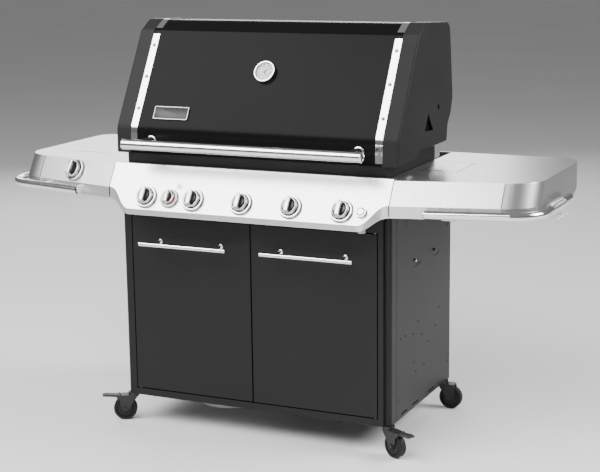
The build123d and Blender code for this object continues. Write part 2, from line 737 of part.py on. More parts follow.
with BuildPart() as towel_rails:
    y0 = front_y(rail_inner_x) - (panel_top_z - table_lip_z) * slope_run - rail_stand
    corner_x = table_outer_x + rail_end_stand
    y_corner = y0 + (corner_x - rail_inner_x) * table_sweep
    with BuildLine() as rail_path:
        FilletPolyline((rail_inner_x, y0, rail_z), (corner_x, y_corner, rail_z),
                       (corner_x, rail_back_y, rail_z), radius=rail_bend)
    with BuildSketch(Plane(origin=rail_path.line @ 0, z_dir=rail_path.line % 0)):
        Circle(rail_radius)
        Circle(rail_radius - rail_wall, mode=Mode.SUBTRACT)
    sweep(path=rail_path.line)
    mirror(about=Plane.YZ)
    for side in (-1, 1):
        for x in (rail_inner_x + 30, table_end_x - 30):
            lip = front_y(x) - (panel_top_z - table_lip_z) * slope_run
            rod((side * x, lip - rail_stand + rail_radius - 1, rail_z), (side * x, lip + 4, rail_z),
                rail_bracket_radius)
        rod((side * (corner_x - rail_radius + 1), 60, rail_z), (side * table_outer_x, 60, rail_z),
            rail_bracket_radius)
        add(table_solids[side], mode=Mode.SUBTRACT)
    # tool hooks hang on the right-hand end of the rail
    hook_ring = rail_radius + hook_wire + 0.6
    for y in [hook_first_y + hook_pitch * k for k in range(hook_count)]:
        with Locations(Plane(origin=(corner_x, y, rail_z), z_dir=(0, 1, 0))):
            Torus(hook_ring, hook_wire)
        foot_z = rail_z - hook_ring - hook_drop
        rod((corner_x, y, rail_z - hook_ring), (corner_x, y, foot_z), hook_wire)
        with Locations(Plane(origin=(corner_x + hook_curl, y, foot_z), x_dir=(-1, 0, 0), z_dir=(0, 1, 0))):
            Torus(hook_curl, hook_wire, major_angle=200)
save(towel_rails.part, "towel_rails")

# ---------------------------------------------------------------- lid
bend_y = lid_front_y + 2.0
crease_y = bend_y + (lid_crease_z - lid_bend_z) * tan(lid_slope)


def lid_profile(grow, low, x=0.0):
    """Closed side profile of the lid at x, grown by grow; low is its bottom edge, back to front."""
    with BuildSketch(Plane.YZ.offset(x)) as profile:
        with BuildLine():
            Polyline(
                (lid_front_y, lid_bottom_z),
                (bend_y, lid_bend_z),
                (crease_y, lid_crease_z),
                (lid_top_front_y, lid_top_z),
                (lid_back_top_y, lid_top_z - 12),
                (lid_back_y, lid_bottom_z + 184),
                (lid_back_y, lid_bottom_z + 158),
                *low,
                close=True,
            )
        make_face()
        if grow:
            offset(amount=grow, kind=Kind.INTERSECTION, mode=Mode.REPLACE)
        for y, z, radius in ((crease_y, lid_crease_z, 14), (lid_top_front_y, lid_top_z, 40),
                             (lid_back_top_y, lid_top_z - 12, 34), (lid_front_y, lid_bend_z, 60)):
            fillet(profile.vertices().sort_by_distance((y, z, 0))[0], radius)
    return profile.sketch


skin_low = [(lid_back_low_y, lid_back_low_z)]
cap_low = [(lid_back_low_y, lid_back_low_z - 2), (pivot_y + 31, pivot_z + 21),
           (pivot_y + 21, lid_bottom_z + 24), (-44, lid_bottom_z + 24), (-54, lid_bottom_z + 6), (-120, lid_bottom_z)]
cap_plane_x = lid_half_width + cap_gap
cap_face_x = cap_plane_x + lid_cap_width
trim_x = lid_half_width - trim_width
skin_outer = lid_profile(0, skin_low)
skin_inner = lid_profile(-lid_skin, skin_low)
cap_outer = lid_profile(cap_proud, cap_low, cap_plane_x)
cap_inner = lid_profile(cap_proud - cap_wall, cap_low, cap_plane_x - 1)
trim_outer = lid_profile(trim_thick, skin_low, trim_x)

with BuildPart() as lid_shroud:
    extrude(skin_outer, amount=lid_half_width, both=True)
    extrude(skin_inner, amount=lid_half_width + 5, both=True, mode=Mode.SUBTRACT)
    # the shroud is open below, from its front edge to its back edge
    with BuildSketch(Plane.YZ):
        with BuildLine():
            Polyline((lid_front_y + lid_skin, lid_bottom_z - 28), (lid_front_y + lid_skin, lid_bottom_z + 20),
                     (lid_back_low_y - lid_skin, lid_back_low_z + 20),
                     (lid_back_low_y - lid_skin, lid_bottom_z - 28), close=True)
        make_face()
    extrude(amount=lid_half_width + 5, both=True, mode=Mode.SUBTRACT)
save(lid_shroud.part, "lid_shroud")

with BuildPart() as lid_end_caps:
    extrude(cap_outer, amount=lid_cap_width)
    fillet(lid_end_caps.faces().sort_by(Axis.X)[-1].edges(), 7)
    extrude(cap_inner, amount=lid_cap_width + 1 - cap_wall, mode=Mode.SUBTRACT)
    # boss for the pivot pin, and the two openings in the side of the cap
    rod((cap_plane_x + 5, pivot_y, pivot_z), (cap_face_x - 3, pivot_y, pivot_z), 14)
    rod((cap_plane_x + 4, pivot_y, pivot_z), (cap_plane_x + 30, pivot_y, pivot_z),
        pivot_pin_radius + run_clearance, Mode.SUBTRACT)
    rod((cap_face_x - 10, 126, lid_bottom_z + 143), (cap_face_x + 1, 126, lid_bottom_z + 143), 9, Mode.SUBTRACT)
    with BuildSketch(Plane.YZ.offset(cap_face_x - 10)):
        with BuildLine():
            Polyline((30, lid_bottom_z + 134), (-4, lid_bottom_z + 80), (76, lid_bottom_z + 74), close=True)
        make_face()
    extrude(amount=20, mode=Mode.SUBTRACT)
    mirror(about=Plane.YZ)
save(lid_end_caps.part, "lid_end_caps")

slope_plane = Plane(origin=(0, bend_y, lid_bend_z), x_dir=(1, 0, 0), z_dir=(0, -cos(lid_slope), sin(lid_slope)))
trim_screw_x = trim_x + trim_width / 2
trim_screw_radius = 4.2
with BuildPart() as lid_trim:
    extrude(trim_outer, amount=trim_width)
    extrude(skin_outer, amount=trim_x + trim_width + 5, mode=Mode.SUBTRACT)
    # the strip covers the front only, and breaks at the crease
    box(0, 500, -400, 400, lid_bottom_z - 128, lid_bottom_z + 6, Mode.SUBTRACT)
    box(0, 500, 200, 400, lid_bottom_z - 128, lid_top_z + 52, Mode.SUBTRACT)
    with BuildSketch(Plane.YZ):
        with BuildLine():
            Polyline((lid_front_y + 1, lid_bottom_z - 128), (lid_front_y + 1, lid_bend_z - 7),
                     (200, lid_bottom_z + 322), (400, lid_bottom_z + 322),
                     (400, lid_bottom_z - 128), close=True)
        make_face()
    extrude(amount=500, mode=Mode.SUBTRACT)
    box(0, 500, crease_y - 40, crease_y + 60, lid_crease_z - 12, lid_crease_z + 6, Mode.SUBTRACT)
    for along in (70, 185, 300):
        with BuildSketch(slope_plane.offset(trim_thick)):
            with Locations((trim_screw_x, along)):
                Circle(trim_screw_radius)
        extrude(amount=2.4, taper=20)
    with BuildSketch(Plane.XZ.offset(-lid_front_y + trim_thick - 0.6)):
        with Locations((trim_screw_x, lid_bottom_z + 34)):
            Circle(trim_screw_radius)
    extrude(amount=2.4, taper=20)
    mirror(about=Plane.YZ)
    # plain plate on the front of the lid
    with BuildSketch(slope_plane):
        with Locations((badge_x, (badge_z - lid_bend_z) / cos(lid_slope))):
            RectangleRounded(badge_width, badge_height, 5)
    extrude(amount=3)
save(lid_trim.part, "lid_trim")

with BuildPart() as lid_handle:
    rod((-handle_half_length, handle_y, handle_z), (handle_half_length, handle_y, handle_z), handle_radius)
    rod((-handle_half_length + 4, handle_y, handle_z), (handle_half_length - 4, handle_y, handle_z),
        handle_radius - handle_wall, Mode.SUBTRACT)
save(lid_handle.part, "lid_handle")

with BuildPart() as lid_handle_posts:
    for x in (-handle_post_x, handle_post_x):
        rod((x, handle_y, handle_z), (x, lid_front_y + 20, handle_z), handle_post_radius)
        rod((x - 40, handle_y, handle_z), (x + 40, handle_y, handle_z), handle_radius, Mode.SUBTRACT)
    extrude(skin_outer, amount=500, both=True, mode=Mode.SUBTRACT)
    box(-500, 500, handle_y - 100, handle_y, handle_z - 100, handle_z + 100, Mode.SUBTRACT)
save(lid_handle_posts.part, "lid_handle_posts")

dial_along = (thermometer_z - lid_bend_z) / cos(lid_slope)
with BuildPart() as thermometer:
    with BuildSketch(slope_plane):
        with Locations((0, dial_along)):
            Circle(thermometer_radius)
    extrude(amount=12)
    with BuildSketch(slope_plane.offset(3)):
        with Locations((0, dial_along)):
            Circle(thermometer_radius - 5)
    extrude(amount=12, mode=Mode.SUBTRACT)
    with BuildSketch(slope_plane.offset(3)):
        with Locations((0, dial_along)):
            Circle(thermometer_radius - 5)
    extrude(amount=1)
save(thermometer.part, "thermometer")

door_outer_x = post_inner_x - door_gap + 0.4
door_axis_y = cart_front_y + door_axis_inset - 0.5
with BuildPart() as hinge_pins:
    for side in (-1, 1):
        a, b = side * (ear_inner_x - 2), side * (cap_plane_x + 28)
        rod((a, pivot_y, pivot_z), (b, pivot_y, pivot_z), pivot_pin_radius)
        rod((a, pivot_y, pivot_z), (a - side * 4, pivot_y, pivot_z), pivot_pin_radius + 4)
        door_axis_x = side * (door_outer_x - door_axis_inset)
        for z0, z1 in ((cart_bottom_z + lower_rail_height, cart_bottom_z + lower_rail_height + 22),
                       (door_top_z - 17, door_top_z + 5)):
            rod((door_axis_x, door_axis_y, z0), (door_axis_x, door_axis_y, z1), door_pin_radius)
save(hinge_pins.part, "hinge_pins")

# ---------------------------------------------------------------- doors
door_bottom_z = cart_bottom_z + lower_rail_height + door_gap
for side, name in ((-1, "left"), (1, "right")):
    a, b = sorted((side * door_middle_gap / 2, side * door_outer_x))
    axis_x = side * (door_outer_x - door_axis_inset)
    with BuildPart() as door:
        box(a, b, cart_front_y, cart_front_y + door_depth, door_bottom_z, door_top_z)
        box(a + door_wall, b - door_wall, cart_front_y + door_wall, cart_front_y + door_depth + 1,
            door_bottom_z + door_wall, door_top_z - door_wall, Mode.SUBTRACT)
        box(a + 30, b - 30, cart_front_y + door_wall, cart_front_y + 12, door_bottom_z + 60, door_bottom_z + 64)
        box(a + 30, b - 30, cart_front_y + door_wall, cart_front_y + 12, door_top_z - 64, door_top_z - 60)
        for z0, z1 in ((door_bottom_z, door_bottom_z + 20), (door_top_z - 20, door_top_z)):
            box(axis_x - 6.5, axis_x + 6.5, cart_front_y + 0.5, cart_front_y + 15, z0, z1)
            rod((axis_x, door_axis_y, z0 - 1), (axis_x, door_axis_y, z1 + 1), door_pin_radius + run_clearance,
                Mode.SUBTRACT)
    save(door.part, f"door_{name}")
    xc = side * (door_outer_x + door_middle_gap / 2) / 2
    bar_y = cart_front_y - door_handle_stand
    with BuildPart() as handle:
        half = door_handle_length / 2
        rod((xc - half, bar_y, door_handle_z), (xc + half, bar_y, door_handle_z), door_handle_radius)
        for x in (xc - door_handle_post_pitch / 2, xc + door_handle_post_pitch / 2):
            rod((x, bar_y, door_handle_z), (x, cart_front_y, door_handle_z), 4.5)
    save(handle.part, f"door_handle_{name}")

# ---------------------------------------------------------------- side burner
bowl_depth = 44.0
bowl_wall = 3.0
bowl_rest_z = cover_rest_z - sheet


def bowl_section(size, radius, z):
    """Square with round corners, centred on the side burner."""
    with BuildSketch(Plane.XY.offset(z)) as section:
        with Locations((side_burner_x, side_burner_y)):
            RectangleRounded(size, size, radius)
    return section.sketch


bowl_top = bowl_section(2 * burner_hole, 20, bowl_rest_z)
bowl_floor = bowl_section(2 * burner_hole - 66, 20, bowl_rest_z - bowl_depth)
hollow_top = bowl_section(2 * burner_hole - 5, 18, bowl_rest_z + 0.01)
hollow_floor = bowl_section(2 * burner_hole - 71, 18, bowl_rest_z - bowl_depth + bowl_wall)
with BuildPart() as side_burner_bowl:
    with BuildSketch(Plane.XY.offset(bowl_rest_z - 4)):
        with Locations((side_burner_x, side_burner_y)):
            Rectangle(2 * burner_hole + 14, 2 * burner_hole + 14)
    extrude(amount=4)
    loft([bowl_top, bowl_floor])
    loft([hollow_top, hollow_floor], mode=Mode.SUBTRACT)
    with BuildSketch(Plane.XY.offset(bowl_rest_z - bowl_depth - 6)):
        with Locations((side_burner_x, side_burner_y)):
            Circle(22)
    extrude(amount=20, mode=Mode.SUBTRACT)
save(side_burner_bowl.part, "side_burner_bowl")

head_z = bowl_rest_z - bowl_depth + bowl_wall
tube_z = head_z - 14.0
tube_radius = 7.0
side_valve_plane = face_plane(-side_knob_x, side_valve_drop)
valve_end = tuple(side_valve_plane.offset(-valve_bore - 6).origin)
knee = (valve_end[0], valve_end[1] + 24, tube_z)
with BuildPart() as side_burner_head:
    for radius, low, high in ((21.5, -22, 0), (26, 0, 10), (40, 10, 18), (36, 18, 22)):
        rod((side_burner_x, side_burner_y, head_z + low), (side_burner_x, side_burner_y, head_z + high), radius)
    # mixing tube from the valve to the burner
    rod(knee, (side_burner_x, side_burner_y, tube_z), tube_radius)
    rod(valve_end, knee, tube_radius)
    with Locations(knee):
        Sphere(tube_radius)
    with BuildSketch(side_valve_plane.offset(-valve_bore - 6)):
        Circle(20)
    extrude(amount=20, mode=Mode.SUBTRACT)
save(side_burner_head.part, "side_burner_head")

cover_low_z = cover_rest_z + clear
with BuildPart() as side_burner_cover:
    x0, x1 = side_burner_x - cover_half_width, side_burner_x + cover_half_width
    box(x0, x1, cover_front_y, cover_back_y, cover_low_z, table_top_z)
    # the rear edge is round, so that it turns inside the recess
    rear_edges = side_burner_cover.faces().sort_by(Axis.Y)[-1].edges().filter_by(Axis.X)
    fillet(rear_edges, (table_top_z - cover_low_z) / 2 - 0.1)
    box(x0 + 4, x1 - 4, cover_front_y + 4, cover_back_y - 12, cover_low_z - 1, table_top_z - 1.5, Mode.SUBTRACT)
    rod((x0 - 3, cover_pin_y, cover_pin_z), (x1 + 3, cover_pin_y, cover_pin_z), cover_pin_radius)
save(side_burner_cover.part, "side_burner_cover")

# ---------------------------------------------------------------- grease tray
tray_half_width = runner_x - 18.0
tray_front_y, tray_back_y = -118.0, 150.0
tray_top_z = funnel_bottom_z - 11.0
tray_low_z = tray_top_z - 34.0
tray_wall = 1.5
with BuildPart() as grease_tray:
    box(-tray_half_width, tray_half_width, tray_front_y, tray_back_y, tray_low_z, tray_top_z)
    inner = tray_half_width - tray_wall
    box(-inner, inner, tray_front_y + tray_wall, tray_back_y - tray_wall, tray_low_z + tray_wall,
        tray_top_z + 1, Mode.SUBTRACT)
    for side in (-1, 1):
        a, b = sorted((side * tray_half_width, side * (runner_x - runner_thick - 1)))
        box(a, b, tray_front_y, tray_back_y, runner_z + runner_thick + clear, tray_top_z)
    # pull at the back
    box(-60, 60, tray_back_y, tray_back_y + 34, tray_top_z - 6, tray_top_z - 3)
    box(-60, 60, tray_back_y + 31, tray_back_y + 34, tray_top_z - 18, tray_top_z - 6)
save(grease_tray.part, "grease_tray")

# ---------------------------------------------------------------- casters
cheek_y = wheel_width / 2 + 2.5
cheek_thick = 3.0
fork_plate_z = cart_bottom_z - 14.0
axle_radius = 4.0
pedal_pin_radius = 2.5
casters = [("front_left", (-front_caster[0], front_caster[1]), 180 + 27, True),
           ("front_right", front_caster, -27, True),
           ("rear_left", (-rear_caster[0], rear_caster[1]), 180, False),
           ("rear_right", rear_caster, 0, False)]
for name, (cx, cy), turn, braked in casters:
    trail = (cos(radians(turn)), sin(radians(turn)), 0)
    base = Plane(origin=(cx, cy, 0), x_dir=trail, z_dir=(0, 0, 1))
    side_plane = Plane(origin=(cx, cy, 0), x_dir=trail, z_dir=Vector(*trail).cross(Vector(0, 0, 1)))
    with BuildPart() as fork:
        with BuildSketch(base.offset(fork_plate_z)):
            with Locations((14, 0)):
                RectangleRounded(62, 2 * cheek_y + 6, 8)
        extrude(amount=4)
        with BuildSketch(base.offset(fork_plate_z + 4)):
            Circle(19)
        extrude(amount=cart_bottom_z - fork_plate_z - 4 - clear)
        with BuildSketch(base.offset(cart_bottom_z - clear)):
            Circle(caster_stem_radius)
        extrude(amount=40)
        for y in (cheek_y, -cheek_y - cheek_thick):
            with BuildSketch(side_plane.offset(y)):
                with BuildLine():
                    Polyline((-14, fork_plate_z + 2), (44, fork_plate_z + 2), (48, 60),
                             (caster_trail + 9, wheel_radius - 6),
                             (caster_trail - 9, wheel_radius - 6), close=True)
                make_face()
                if braked:
                    with Locations((pedal_x, pedal_z)):
                        Circle(7)
                    with Locations((pedal_x - 8, pedal_z - 4)):
                        Rectangle(16, 14)
            extrude(amount=cheek_thick)
        with BuildSketch(side_plane.offset(-cheek_y - cheek_thick - 4)):
            with Locations((caster_trail, wheel_radius)):
                Circle(axle_radius)
        extrude(amount=2 * (cheek_y + cheek_thick + 4))
        for y in (cheek_y + cheek_thick, -cheek_y - cheek_thick - 4):
            with BuildSketch(side_plane.offset(y)):
                with Locations((caster_trail, wheel_radius)):
                    RegularPolygon(7.5, 6)
            extrude(amount=4)
        if braked:
            with BuildSketch(side_plane.offset(-cheek_y - cheek_thick)):
                with Locations((pedal_x, pedal_z)):
                    Circle(pedal_pin_radius)
            extrude(amount=2 * (cheek_y + cheek_thick))
    save(fork.part, f"caster_fork_{name}")
    with BuildPart() as wheel:
        with BuildSketch(side_plane.offset(-wheel_width / 2)):
            with Locations((caster_trail, wheel_radius)):
                Circle(wheel_radius)
        extrude(amount=wheel_width)
        fillet(wheel.edges().filter_by(GeomType.CIRCLE), 4)
        for y, depth in ((wheel_width / 2, -5), (-wheel_width / 2, 5)):
            with BuildSketch(side_plane.offset(y)):
                with Locations((caster_trail, wheel_radius)):
                    Circle(wheel_radius - 10)
                    Circle(12, mode=Mode.SUBTRACT)
            extrude(amount=depth, mode=Mode.SUBTRACT)
        with BuildSketch(side_plane.offset(-wheel_width / 2 - 2)):
            with Locations((caster_trail, wheel_radius)):
                Circle(10)
        extrude(amount=wheel_width + 4)
        with BuildSketch(side_plane.offset(-wheel_width)):
            with Locations((caster_trail, wheel_radius)):
                Circle(axle_radius + run_clearance)
        extrude(amount=2 * wheel_width, mode=Mode.SUBTRACT)
    save(wheel.part, f"caster_wheel_{name}")
    if braked:
        with BuildPart() as pedal:
            with BuildSketch(side_plane.offset(-12)):
                with Locations((pedal_x, pedal_z)):
                    Circle(6)
                with BuildLine():
                    Polyline((pedal_x, pedal_z + 6), (pedal_x + 44, pedal_z + 9), (pedal_x + 56, pedal_z + 6),
                             (pedal_x + 54, pedal_z + 2), (pedal_x, pedal_z - 1), close=True)
                make_face()
                with Locations((pedal_x, pedal_z)):
                    Circle(pedal_pin_radius + run_clearance, mode=Mode.SUBTRACT)
            extrude(amount=24)
        save(pedal.part, f"brake_pedal_{name}")

print("ready")
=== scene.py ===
import json
import math

import bmesh
import bpy
from mathutils import Matrix, Vector


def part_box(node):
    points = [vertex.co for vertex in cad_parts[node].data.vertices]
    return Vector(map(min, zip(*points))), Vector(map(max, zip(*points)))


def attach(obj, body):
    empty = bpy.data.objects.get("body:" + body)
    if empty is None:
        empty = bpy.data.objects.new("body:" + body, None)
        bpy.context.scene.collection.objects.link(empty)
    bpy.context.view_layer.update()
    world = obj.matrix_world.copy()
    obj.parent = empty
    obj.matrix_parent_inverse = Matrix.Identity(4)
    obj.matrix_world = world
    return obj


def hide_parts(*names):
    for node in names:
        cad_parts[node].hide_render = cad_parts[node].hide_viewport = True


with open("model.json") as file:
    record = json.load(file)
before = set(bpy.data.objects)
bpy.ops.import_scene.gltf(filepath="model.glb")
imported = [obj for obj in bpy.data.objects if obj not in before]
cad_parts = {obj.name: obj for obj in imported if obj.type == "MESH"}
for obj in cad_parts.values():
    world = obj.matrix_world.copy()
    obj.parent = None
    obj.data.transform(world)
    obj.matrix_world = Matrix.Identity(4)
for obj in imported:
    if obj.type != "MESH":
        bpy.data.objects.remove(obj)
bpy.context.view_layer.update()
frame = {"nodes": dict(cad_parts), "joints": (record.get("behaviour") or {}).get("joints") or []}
NODES = frame["nodes"]
JOINTS = {joint["name"]: joint for joint in frame["joints"]}
MM = 0.001
CORNER_STEPS = 6     # pieces in each quarter of a round corner

# ---------------------------------------------------------------- sizes shared with the CAD model
LID_SLOPE = math.radians(30)   # how far the lid's sloping front leans back from upright
SLOPE_NORMAL = Vector((0, -math.cos(LID_SLOPE), math.sin(LID_SLOPE)))
KNOB_RADIUS = 28.5
SMALL_KNOB_RADIUS = 22.0
KNOB_BASE = 6.0
KNOB_HEIGHT = 38.0
SMALL_KNOB_HEIGHT = 32.3
KNOB_SKIRT_SHARE = 0.56
BEZEL_GAP = 3.0
BEZEL_WIDTH = 6.0
BEZEL_HEIGHT = 10.0
DOOR_HANDLE_RADIUS = 7.0
DOOR_HANDLE_FOOT_X = 112     # each foot from the middle of its bar
RAIL_RADIUS = 13.0


# ---------------------------------------------------------------- mesh helpers
def piece(name, bm, finish, body, matrix=None, sharp=32):
    """A finished mesh piece, made in millimetres, placed by matrix and riding on a CAD body."""
    bm.transform(Matrix.Scale(MM, 4))
    if matrix is not None:
        bm.transform(matrix)
    bmesh.ops.recalc_face_normals(bm, faces=bm.faces)
    for face in bm.faces:
        face.smooth = True
    mesh = bpy.data.meshes.new(name)
    bm.to_mesh(mesh)
    bm.free()
    mesh.set_sharp_from_angle(angle=math.radians(sharp))
    mesh.materials.append(finish)
    obj = bpy.data.objects.new(name, mesh)
    bpy.context.scene.collection.objects.link(obj)
    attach(obj, body)
    return obj


def loft(bm, rings):
    """Closed skin over rings of equal length; a one-point ring closes to a tip."""
    made = [[bm.verts.new(p) for p in ring] for ring in rings]
    for low, high in zip(made, made[1:]):
        count = max(len(low), len(high))
        for i in range(count):
            j = (i + 1) % count
            if len(low) == 1:
                bm.faces.new((low[0], high[i], high[j]))
            elif len(high) == 1:
                bm.faces.new((low[i], high[0], low[j]))
            else:
                bm.faces.new((low[i], low[j], high[j], high[i]))
    for ring in (made[0], made[-1]):
        if len(ring) > 2:
            bm.faces.new(ring)
    return bm


def circle(radius, height, segments=48):
    """Ring of points about Z."""
    step = 2 * math.pi / segments
    return [(radius * math.cos(i * step), radius * math.sin(i * step), height) for i in range(segments)]


def revolve(bm, profile, segments=64, hollow=False):
    """Solid of revolution about Z from (radius, height) points; hollow joins the last point to the first."""
    rings = [[(0, 0, h)] if r == 0 else circle(r, h, segments) for r, h in profile]
    if hollow:
        rings.append(rings[0])
        made = [[bm.verts.new(p) for p in ring] for ring in rings[:-1]]
        made.append(made[0])
        for low, high in zip(made, made[1:]):
            for i in range(segments):
                j = (i + 1) % segments
                bm.faces.new((low[i], low[j], high[j], high[i]))
        return bm
    return loft(bm, rings)


def rounded_rectangle(width, length, radius, height, centre=(0, 0)):
    """Ring of points of a rectangle with round corners, width in X and length in Y."""
    ring = []
    for quarter, (sx, sy) in enumerate(((1, 1), (-1, 1), (-1, -1), (1, -1))):
        for k in range(CORNER_STEPS + 1):
            a = math.pi / 2 * (quarter + k / CORNER_STEPS)
            ring.append((centre[0] + sx * (width / 2 - radius) + radius * math.cos(a),
                         centre[1] + sy * (length / 2 - radius) + radius * math.sin(a), height))
    return ring


def plate(bm, width, length, radius, low, high, edge=0.6, centre=(0, 0)):
    """Flat plate with round corners and a broken top edge."""
    return loft(bm, [rounded_rectangle(width, length, radius, low, centre),
                     rounded_rectangle(width, length, radius, high - edge, centre),
                     rounded_rectangle(width - edge, length - edge, radius - edge / 2, high - edge * 0.3,
                                       centre),
                     rounded_rectangle(width - 2 * edge, length - 2 * edge, max(radius - edge, 0.2), high,
                                       centre)])


def block(bm, low, high, edge=0.8):
    """Block with broken edges between two corners."""
    (x0, y0, z0), (x1, y1, z1) = low, high
    made = bmesh.ops.create_cube(bm, size=1.0)["verts"]
    bmesh.ops.scale(bm, vec=(x1 - x0, y1 - y0, z1 - z0), verts=made)
    bmesh.ops.translate(bm, vec=((x0 + x1) / 2, (y0 + y1) / 2, (z0 + z1) / 2), verts=made)
    edges = list({e for v in made for e in v.link_edges})
    bmesh.ops.bevel(bm, geom=edges, offset=edge, segments=2, affect="EDGES", profile=0.7)
    return bm


def pipe(bm, points, radius, segments=20):
    """Round wire along a list of points, with its bends kept as they are given."""
    points = [Vector(p) for p in points]
    side = None
    rings = []
    for i, p in enumerate(points):
        ahead = (points[min(i + 1, len(points) - 1)] - points[max(i - 1, 0)]).normalized()
        if side is None:
            side = ahead.orthogonal().normalized()
        side = (side - ahead * side.dot(ahead)).normalized()
        up = ahead.cross(side)
        rings.append([tuple(p + radius * (math.cos(a) * side + math.sin(a) * up))
                      for a in (2 * math.pi * k / segments for k in range(segments))])
    return loft(bm, rings)


def facing(origin, normal):
    """Matrix in metres at origin whose Z is the normal and whose Y points up the face."""
    z = Vector(normal).normalized()
    x = Vector((0, 0, 1)).cross(z)
    x = x.normalized() if x.length > 1e-6 else Vector((1, 0, 0))
    y = z.cross(x)
    matrix = Matrix((x, y, z)).transposed().to_4x4()
    matrix.translation = Vector(origin)
    return matrix


def centre_of(node):
    """Middle of a CAD node's box."""
    low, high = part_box(node)
    return (low + high) / 2


# ---------------------------------------------------------------- materials
def linear(tone):
    """Linear value of a display tone from 0 to 255."""
    c = tone / 255
    return c / 12.92 if c <= 0.04045 else ((c + 0.055) / 1.055) ** 2.4


def grey(tone, warm=0.0):
    """Linear grey of a display tone, a little warmer where asked."""
    value = linear(tone)
    return (value * (1 + warm), value, value * (1 - warm))


def material(name, colour, rough, metallic=0.0, mottle=(6.0, 0.06), grain=(300, 300, 300), rough_spread=0.08,
             bump=0.05, depth=0.0003, specular=0.5):
    """Procedural finish: mottled colour, grained roughness and a fine bump, in the object's coordinates."""
    mat = bpy.data.materials.new(name)
    mat.use_nodes = True
    nodes, links = mat.node_tree.nodes, mat.node_tree.links
    shader = nodes["Principled BSDF"]
    shader.inputs["Metallic"].default_value = metallic
    shader.inputs["Specular IOR Level"].default_value = specular
    place = nodes.new("ShaderNodeTexCoord")

    broad = nodes.new("ShaderNodeTexNoise")
    broad.inputs["Scale"].default_value = mottle[0]
    broad.inputs["Detail"].default_value = 6.0
    links.new(place.outputs["Object"], broad.inputs["Vector"])
    tint = nodes.new("ShaderNodeValToRGB")
    low, high = 1 - mottle[1], 1 + mottle[1]
    tint.color_ramp.elements[0].position = 0.3
    tint.color_ramp.elements[0].color = (*(c * low for c in colour), 1)
    tint.color_ramp.elements[1].position = 0.7
    tint.color_ramp.elements[1].color = (*(min(c * high, 1.0) for c in colour), 1)
    links.new(broad.outputs["Fac"], tint.inputs["Fac"])
    links.new(tint.outputs["Color"], shader.inputs["Base Color"])

    stretch = nodes.new("ShaderNodeMapping")
    stretch.inputs["Scale"].default_value = grain
    links.new(place.outputs["Object"], stretch.inputs["Vector"])
    fine = nodes.new("ShaderNodeTexNoise")
    fine.inputs["Scale"].default_value = 1.0
    fine.inputs["Detail"].default_value = 5.0
    links.new(stretch.outputs["Vector"], fine.inputs["Vector"])
    spread = nodes.new("ShaderNodeMapRange")
    spread.inputs["From Min"].default_value = 0.3
    spread.inputs["From Max"].default_value = 0.7
    spread.inputs["To Min"].default_value = max(rough - rough_spread, 0.02)
    spread.inputs["To Max"].default_value = rough + rough_spread
    links.new(fine.outputs["Fac"], spread.inputs["Value"])
    links.new(spread.outputs["Result"], shader.inputs["Roughness"])
    relief = nodes.new("ShaderNodeBump")
    relief.inputs["Strength"].default_value = bump
    relief.inputs["Distance"].default_value = depth
    links.new(fine.outputs["Fac"], relief.inputs["Height"])
    links.new(relief.outputs["Normal"], shader.inputs["Normal"])
    return mat


BRUSH = (8, 900, 900)          # brushing runs along X
SIDE_BRUSH = (900, 8, 900)     # brushing runs along Y
PEEL = (260, 260, 260)         # orange peel of baked enamel
CAST = (420, 420, 420)         # sandy cast skin
enamel = material("lid_enamel", grey(16), 0.26, mottle=(3, 0.10), grain=PEEL, rough_spread=0.04, bump=0.05,
                  specular=0.05)
cap_cast = material("cap_cast", grey(40), 0.42, mottle=(5, 0.10), grain=CAST, rough_spread=0.07, bump=0.16,
                    specular=0.06)
powder = material("powder_coat", grey(22), 0.42, mottle=(4, 0.08), grain=(520, 520, 520), rough_spread=0.06,
                  bump=0.12,
                  specular=0.25)
stainless = material("brushed_stainless", grey(226, 0.012), 0.30, 1.0, (2.5, 0.03), BRUSH, 0.07, 0.05, 0.0001)
table_top = material("table_stainless", grey(224, 0.010), 0.32, 1.0, (3, 0.03), BRUSH, 0.06, 0.05, 0.0001)
corner_metal = material("corner_metal", grey(166), 0.40, 1.0, (5, 0.05), CAST, 0.05, 0.06)
chrome = material("polished_chrome", grey(238), 0.13, 1.0, (9, 0.03), (60, 700, 700), 0.04, 0.02, 0.0001)
satin_chrome = material("satin_chrome", grey(222), 0.20, 1.0, (20, 0.04), (700, 700, 700), 0.05, 0.04, 0.0001)
firebox = material("firebox_paint", grey(20), 0.50, mottle=(6, 0.12), grain=CAST, rough_spread=0.1,
                   bump=0.14, specular=0.25)
iron = material("grate_enamel", grey(36), 0.42, mottle=(30, 0.3), grain=(700, 700, 700), rough_spread=0.14,
                bump=0.3)
sheet_steel = material("sheet_steel", grey(176), 0.38, 1.0, (8, 0.10), SIDE_BRUSH, 0.08, 0.08)
heat_steel = material("heat_tinted_steel", (0.34, 0.28, 0.21), 0.42, 1.0, (14, 0.25), SIDE_BRUSH, 0.1, 0.1)
zinc = material("galvanised_sheet", grey(150), 0.46, 0.85, (38, 0.16), (240, 240, 240), 0.1, 0.08)
brass = material("valve_brass", (0.62, 0.45, 0.20), 0.32, 1.0, (40, 0.12), (500, 500, 500), 0.08, 0.05)
wire = material("plated_wire", grey(196), 0.22, 1.0, (30, 0.06), (600, 600, 600), 0.06, 0.04)
caster_metal = material("caster_plating", grey(44), 0.42, 0.4, (30, 0.12), (600, 600, 600), 0.1, 0.1)
tread = material("caster_tread", grey(22), 0.60, mottle=(30, 0.16), grain=(900, 900, 900), rough_spread=0.1,
                 bump=0.25,
                 specular=0.3)
pedal = material("pedal_plastic", grey(40), 0.5, mottle=(20, 0.1), grain=(1200, 1200, 1200),
                 rough_spread=0.08, bump=0.2)
black_gloss = material("black_inlay", grey(22), 0.22, mottle=(30, 0.1), grain=(900, 900, 900),
                       rough_spread=0.05)
